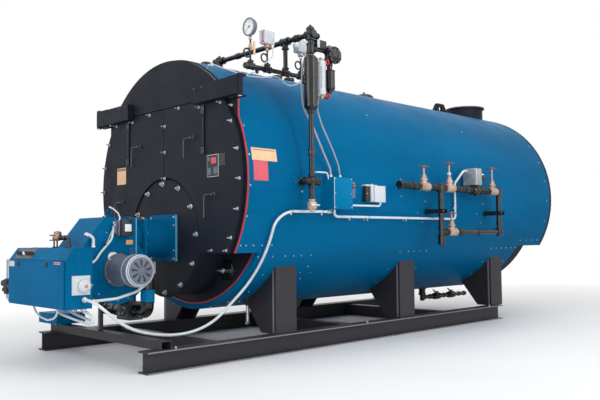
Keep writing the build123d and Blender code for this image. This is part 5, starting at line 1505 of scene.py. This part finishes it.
def make_stack_ring():
    low, high = span("stack_outlet")
    centre = vec(0, (low.y + high.y) / 2, high.z)
    outer = (-1, 289, 4, 291.2, 16, 291.2, 21.2, 287, 21.2, 278, 20.4, 276)
    ring = Piece("stack_ring", BLACKENED)
    ring.turned(centre - Z * 20, Z, outer, 72, closed=True)
    ring.turned(centre, Z, (-1, 206.5, 1.4, 206.5, 1.4, 191, -1, 191), 64, closed=True)
    ring.turned(centre - Z * 20, -Z, (-1, 204, 0, 216, 6, 213, 12, 205.5, 12, 203), 64, closed=True)
    collar = (-205, 205.5, -205, 262, -24, 262, -19.5, 258, -19.5, 205.5)
    Piece("stack_collar", BLACK).turned(centre, Z, collar, 72, closed=True)
    low, high = span("lifting_lug")
    pad = Piece("lifting_lug_pads", BLACK)
    for sign in SIDES:
        eye = (0, 62, 4, 62, 6, 58, 6, 44, 0, 43)
        pad.turned((sign * 20, low.y + 100, high.z - 75), X * sign, eye, 40, closed=True)
        pad.box((sign * 20, low.y + 20, CROWN - 8), (sign * 28, high.y - 20, CROWN + 10), 3)


make_jacket_screws()
make_jacket_sheets()
make_crown()
make_stack_ring()


# Rear end
REAR_PORTS = ((0, 1750, 130), (-620, 1300, 95), (620, 1300, 95))


def make_rear():
    low, high = span("rear_cover")
    face = high.y
    nuts = Piece("rear_cover_nuts", ZINC)
    for i in range(20):
        nuts.bolt(ring_point(-28 + 236 * i / 19, 1190, face), Y, 15.5, 24)
    for i in range(9):
        nuts.bolt((-960 + 240 * i, face, low.z + 50), Y, 15.5, 24)
    edge = arc(JACKET_CUT + 1, 179 - JACKET_CUT, 80, 1238, face + 0.2)
    Piece("rear_cover_rim", RED).strip(edge, lambda point: Y, 12, 2.5)
    ports = Piece("rear_ports", BLACK)
    studs = Piece("rear_port_studs", ZINC)
    for x, z, radius in REAR_PORTS:
        place = vec(x, face, z)
        lid = (-1, radius, 12, radius, 15, radius - 4, 15, radius * 0.55, 24, radius * 0.5, 26, radius * 0.3, 26, 0)
        ports.turned(place, Y, lid, 48)
        ports.torus(place + Y * 12, Y, radius * 0.84, 5, 40, 8)
        for i in range(6):
            studs.bolt(place + Y * 14.5 + spoke("y", 60 * i + 30) * radius * 0.84, Y, 8.5, 6)
    for x in (-300, 300):
        grip = ((x, face - 2, 2100), (x, face + 45, 2100), (x, face + 45, 2320), (x, face - 2, 2320))
        ports.tube(bent(grip, 25), 9, 12)
        for z in (2080, 2300):
            ports.box((x - 20, face - 1, z), (x + 20, face + 5, z + 40), 1.5)
    sight = (0, 40, 12, 40, 14, 36, 14, 26, 8, 25, 8, 0)
    Piece("rear_sight_port", STEEL).turned((0, face + 25.5, 1750), Y, sight, 32)
    face = span("rear_tube_sheet")[1].y
    lower = Piece("rear_handholes", IRON)
    yokes = Piece("rear_handhole_yokes", BLACKENED)
    for sign in SIDES:
        place = vec(sign * HANDHOLE_X, face, HANDHOLE_Z)
        handhole(lower, yokes, place, Y)
        yokes.bolt(place + Y * 58, Y, 18, 26)
    outlet = (0, 75, 10, 74, 16, 52, 50, 50, 52, 60, 82, 60, 86, 52, 86, 0)
    lower.turned((0, face, 620), Y, outlet, 36)


make_rear()


# Skid and saddles
def make_skid():
    low, high = span("skid_beam_right")
    top = high.z
    # lighter grey strips on the beam flanges, the saddle plates and the burner post: painted highlights on their edges
    edges = Piece("skid_edge_highlights", HIGHLIGHT_GREY)
    bolts = Piece("skid_bolts", ZINC)
    welds = Piece("saddle_welds", SKID_BLACK)
    for sign in SIDES:
        for z in (top - 12.5, 0.5):
            edges.box((sign * (high.x - 1), low.y + 1, z), (sign * (high.x + 1.4), high.y - 1, z + 12), 0.6)
        for y in (-2450, 0, 2450):
            bolts.bolt((sign * 985, y, top - 0.5), Z, 11, 8)
    for name, sign in product(("front", "middle", "rear"), SIDES):
        low, high = span("saddle_" + name)
        for face, depth in ((low.y, -1.6), (high.y, 1.6)):
            near, far = (sign * 906, face - depth * 0.3, low.z + 8), (sign * 929.5, face + depth, high.z - 30)
            edges.box(near, far, 0.6)
            welds.tube([(sign * x, face, top + 1) for x in (878, 905, 926)], 4.5, 8)
        welds.tube([(sign * 930, y, top + 1) for y in (low.y + 4, (low.y + high.y) / 2, high.y - 4)], 4.5, 8)
    low, high = span("burner_post")
    edges.box((high.x - 22, low.y - 1.4, low.z + 4), (high.x - 1, low.y + 0.6, high.z - 4), 0.6)


def make_blowdown():
    """Drain connections under the shell."""
    place = vec(500, FRONT + 660, AXIS - math.sqrt(RADIUS**2 - 500**2) + 12)
    Piece("drain_boss", IRON).turned(place, -Z, (0, 46, 30, 44, 36, 34, 60, 34, 64, 26, 74, 26), 24)
    nipple = Piece("drain_nipple", ZINC)
    nipple.rod(place - Z * 70, (500, place.y, 260), 16.5, 18)
    nipple.hexagon((500, place.y, 262), -Z, 27, 22)
    fittings = Piece("blowdown_fittings", IRON)
    bottom = AXIS - RADIUS
    for offset in (1200, 4250):
        flange = (0, 70, 8, 68, 20, 46, 70, 44, 74, 52, 100, 52, 104, 44, 104, 0)
        fittings.turned((0, FRONT + offset, bottom + 4), -Z, flange, 28)
    spot = vec(0, FRONT + 4250, bottom - 130)
    end = spot + Y * 1060
    fittings.rod(spot + Z * 50, spot - Z * 45, 32, 18)
    fittings.rod(spot, end, 27, 18)
    levers = Piece("blowdown_levers", BLACKENED)
    for along in (340, 700):
        valve = spot + Y * along
        fittings.band(valve, Y, 24, 47, 100)
        for side in (-70, 70):
            fittings.band(valve + Y * side, Y, 24, 41, 30)
        fittings.turned(valve, Z, (30, 30, 56, 26, 58, 36, 66, 36, 68, 20), 20)
        levers.rod(valve - X * 65, valve + X * 65, 12)
        levers.tube([valve + X * 62, valve + vec(64, -70, 35), valve + vec(66, -170, 100)], 9, 10)
    for along in (40, 180, 520, 900, 1030):
        fittings.band(spot + Y * along, Y, 24, 35, 30)
    fittings.square_plug(end, Y, 30, 22)


make_skid()
make_blowdown()


# Small parts round the burner and the cabinet
def make_gas_details():
    low, high = span("gas_pipe")
    radius = 57
    y, bottom = (low.y + high.y) / 2, low.z + radius
    riser = vec(high.x - radius, y, 0)
    sleeve = (0, 50, 0, 60.5, 3, 64, 108, 64, 111, 60.5, 111, 50)
    Piece("gas_actuator_sleeve", BRIGHT_BLUE).turned(riser + Z * 527, Z, sleeve, 36, closed=True)
    fittings = Piece("gas_pipe_fittings", IRON)
    for z in (519.5, 645.5):
        fittings.band(riser + Z * z, Z, 50, 63, 13, 30)
    for x in (-340, -200, 200):
        fittings.band((x, y, bottom), X, 50, 64, 30, 30)
    fittings.band((low.x + 12, y, bottom), X, 50, 66, 24, 30)
    fittings.square_plug((low.x, y, bottom), -X, 50, 34)
    handle = Piece("gas_cock_handle", RED)
    handle.rod((-360, low.y - 20, bottom), (-360, low.y + 10, bottom), 12)
    handle.box((-375, low.y - 28, bottom - 20), (-345, low.y - 16, bottom + 80), 4)
    handle.turned((-120, low.y + 30, bottom + radius - 2), Z, (0, 20, 18, 22, 20, 14, 30, 14, 30, 0), 20)
    low, high = span("gas_valve")
    middle = (low + high) / 2
    face = vec(middle.x, low.y, middle.z + 5)
    caps = Piece("gas_valve_caps", BLACKENED)
    caps.turned(face, -Y, (-1, 82, 10, 82, 14, 76, 14, 50, 26, 44, 30, 30, 30, 0), 40)
    caps.turned((middle.x, middle.y, high.z), Z, (-1, 60, 12, 60, 16, 50, 30, 46, 34, 36, 34, 0), 36)
    bolts = Piece("gas_valve_bolts", ZINC)
    for i in range(6):
        bolts.bolt(face - Y * 13 + spoke("y", 60 * i) * 66, -Y, 6.5)
    bolts.turned(face + vec(30, -12, 85), -Y, (0, 12, 20, 12, 22, 8, 22, 0), 12)


def make_pilot_fittings():
    """Pilot gas valves on the cabinet's top edge, before the blower."""
    y, top = FRONT - 1062, CAB_HIGH.z
    line = top + 88
    iron = Piece("pilot_pipe", IRON)
    for x in (-160, -100):
        iron.rod((x, y, top - 2), (x, y, top + 120), 7.5, 12)
        iron.hexagon((x, y, top), Z, 16, 10)
    iron.rod((-170, y, line), (100, y, line), 14.5, 16)
    for x in (-20, 30, 65):
        iron.band((x, y, line), X, 12, 22.5, 26, 20)
    iron.tube(bent(((90, y, line), (125, y, line), (125, y, top - 2)), 30), 14.5, 14)
    iron.band((125, y, top + 12), Z, 12, 21, 24, 20)
    for z in (top + 62, top + 106):
        iron.box((-235, y - 12, z), (-130, y - 3, z + 12), 3)
    valve = Piece("pilot_valve", COPPER)
    valve.turned((-135, y, line), X, (0, 18, 16, 20, 18, 26, 70, 27, 74, 21, 90, 19), 24)
    valve.turned((-92, y, top + 108), Z, (0, 20, 20, 19, 24, 24, 36, 22, 42, 12, 44, 0), 20)
    valve.hexagon((-130, y - 4, top + 125), Z, 14, 20)
    dial = Piece("pilot_gauge", BLACKENED)
    dial.turned((-20, y - 5, top + 125), -Y, (0, 19, 12, 19, 13, 16, 13, 0), 24)
    dial.rod((-20, y, top + 100), (-20, y - 8, top + 115), 7, 12)


def make_cabinet_side():
    """Conduit and switch on the cabinet's left side."""
    wall, y = CAB_LOW.x, FRONT - 1266
    x = wall - 112
    line = Piece("cabinet_side_conduit", CONDUIT)
    line.tube(bent(((wall + 2, y, 925), (x, y, 925), (x, y, 742)), 28), 10.5, 14)
    line.tube(bent(((x, y, 600), (x, y, 553), (wall + 2, y, 553)), 25), 10.5, 14)
    switch = Piece("air_switch", RUBBER)
    switch.turned((x, y, 600), Z, (0, 20, 4, 26, 50, 28, 52, 32, 130, 32, 134, 26, 144, 18), 28)
    switch.turned((x, y, 700), -X, (20, 26, 50, 28, 54, 32, 72, 32, 76, 26, 76, 0), 28)
    switch.turned((x, y, 640), -X, (20, 16, 50, 18, 53, 22, 66, 22, 68, 0), 20)
    switch.box((wall - 90, y - 20, 655), (wall + 1, y + 20, 695), 3)
    bits = Piece("air_switch_fittings", ZINC)
    bits.turned((x - 70, y, 700), -X, (0, 14, 12, 14, 14, 10, 14, 0), 16)
    for z in (925, 553):
        bits.hexagon((wall, y, z), -X, 18, 10)


# distance from the door face, radius, and the route as places across with their drop under the cabinet's floor
UNDER_CABINET_ROUTES = (
    (-1100, 11.5, ((-20, 35), (80, 75), (311, 100), (555, 122), (676, 94), (600, 45), (487, 30))),
    (-1055, 11.5, ((129, 30), (200, 60), (360, 82), (500, 100), (560, 78), (460, 40), (360, 30))),
    (-1145, 9, ((-390, 30), (-340, 80), (-250, 115), (-100, 135), (20, 115), (80, 80), (100, 30))),
)


def make_under_cabinet():
    """Conduits that cross under the cabinet floor, and the details of the box below it."""
    floor = CAB_LOW.z
    lines = Piece("under_cabinet_conduits", CONDUIT)
    hubs = Piece("under_cabinet_hubs", ZINC)
    for y, radius, route in UNDER_CABINET_ROUTES:
        y += FRONT
        ends = route[0][0], route[-1][0]
        points = [(x, y, floor - drop) for x, drop in ((ends[0], -2), *route, (ends[1], -2))]
        lines.tube(bent(points, 120, 6), radius, 12)
        for x in ends:
            hubs.gland((x, y, floor), -Z, 19, 10, (0, 16.5, 12, 16.5, 15, 13))
    low, high = span("base_box")
    for x in (low.x + 90, high.x - 90):
        hubs.turned((x, high.y - 60, high.z - 1), Z, (0, 22, 10, 22, 12, 16, 26, 16, 28, 12, 28, 0), 18)
    for x, z in product((low.x + 20, (low.x + high.x) / 2, high.x - 20), (low.z + 18, high.z - 20)):
        hubs.screw((x, low.y - 1, z), -Y, 4.5)
    for y, z in product((low.y + 30, high.y - 30), (low.z + 20, high.z - 20)):
        hubs.screw((high.x, y, z), X, 4.5)
    lid = Piece("base_box_lid", BLUE)
    lid.box((low.x - 1, low.y - 1.2, high.z - 12), (high.x + 1.2, high.y + 1, high.z + 1), 1)


make_gas_details()
make_pilot_fittings()
make_cabinet_side()
make_under_cabinet()
for piece in pieces:
    piece.make()


# Floor, light and background, in metres
def make_floor():
    half = 40
    mesh = bpy.data.meshes.new("floor")
    mesh.from_pydata([(-half, -half, 0), (half, -half, 0), (half, half, 0), (-half, half, 0)], [], [(0, 1, 2, 3)])
    floor = placed("floor", mesh)
    made = Finish("floor_finish")
    base = made.ramp(made.noise(0.6, 3), 0.3, 0.7, (0.74, 0.76, 0.78, 1), (0.8, 0.81, 0.82, 1))
    made.set(made.shader, Base_Color=base, Roughness=0.6)
    # white for the camera outside an oval round the boiler, where the floor fades out
    glow = made.add("Emission", Color=(1, 1, 1, 1), Strength=1.0)
    squeezed = made.add("Mapping", Vector=made.place, Scale=(1.15, 0.55, 1)).outputs["Vector"]
    away = made.add("VectorMath")
    away.operation = "LENGTH"
    made.put(away.inputs[0], squeezed)
    fade = made.add("MapRange", Value=away.outputs["Value"], From_Min=1.7, From_Max=6.0, To_Min=0.0, To_Max=1.0)
    rays = made.add("LightPath").outputs
    blend = made.add("MixShader")
    seen = made.math("MULTIPLY", rays["Is Camera Ray"], fade.outputs["Result"])
    for socket, value in zip(blend.inputs, (seen, made.shader.outputs[0], glow.outputs[0])):
        made.put(socket, value)
    made.set(made.tree.nodes["Material Output"], Surface=blend.outputs[0])
    mesh.materials.append(made.owner)


def make_light(name, place, target, size, power):
    data = bpy.data.lights.new(name, "AREA")
    data.shape = "RECTANGLE"
    data.size, data.size_y = size
    data.energy = power
    lamp = placed(name, data)
    lamp.location = place
    lamp.rotation_euler = (Vector(target) - Vector(place)).to_track_quat("-Z", "Y").to_euler()


def make_world():
    """A white studio that the camera and reflections see brighter than the object is lit."""
    world = bpy.data.worlds.new("studio")
    bpy.context.scene.world = world
    made = Nodes(world)
    rays = made.add("LightPath").outputs
    seen = made.math("MAXIMUM", rays["Is Camera Ray"], rays["Is Glossy Ray"])
    seen = made.math("MAXIMUM", seen, rays["Is Transmission Ray"])
    level = made.add("MapRange", Value=seen, To_Min=0.62, To_Max=1.0)
    made.set(made.tree.nodes["Background"], Color=(1, 1, 1, 1), Strength=level.outputs["Result"])


make_floor()
make_world()
make_light("overhead", (2.5, -1.0, 7.5), (0, 0, 1.6), (7, 9), 235)
make_light("side", (7.5, 2.0, 4.0), (0, 0.5, 1.5), (5, 5), 110)
make_light("strip", (7.0, -1.0, 3.4), (1, 0, 1.8), (0.5, 5), 80)
make_light("fill", (6.5, -6.5, 0.9), (0, -2, 1.0), (6, 1.4), 85)
make_light("front", (1.0, -9.0, 3.5), (0, -2, 1.4), (5, 4), 170)

bpy.context.scene.view_settings.view_transform = "Standard"
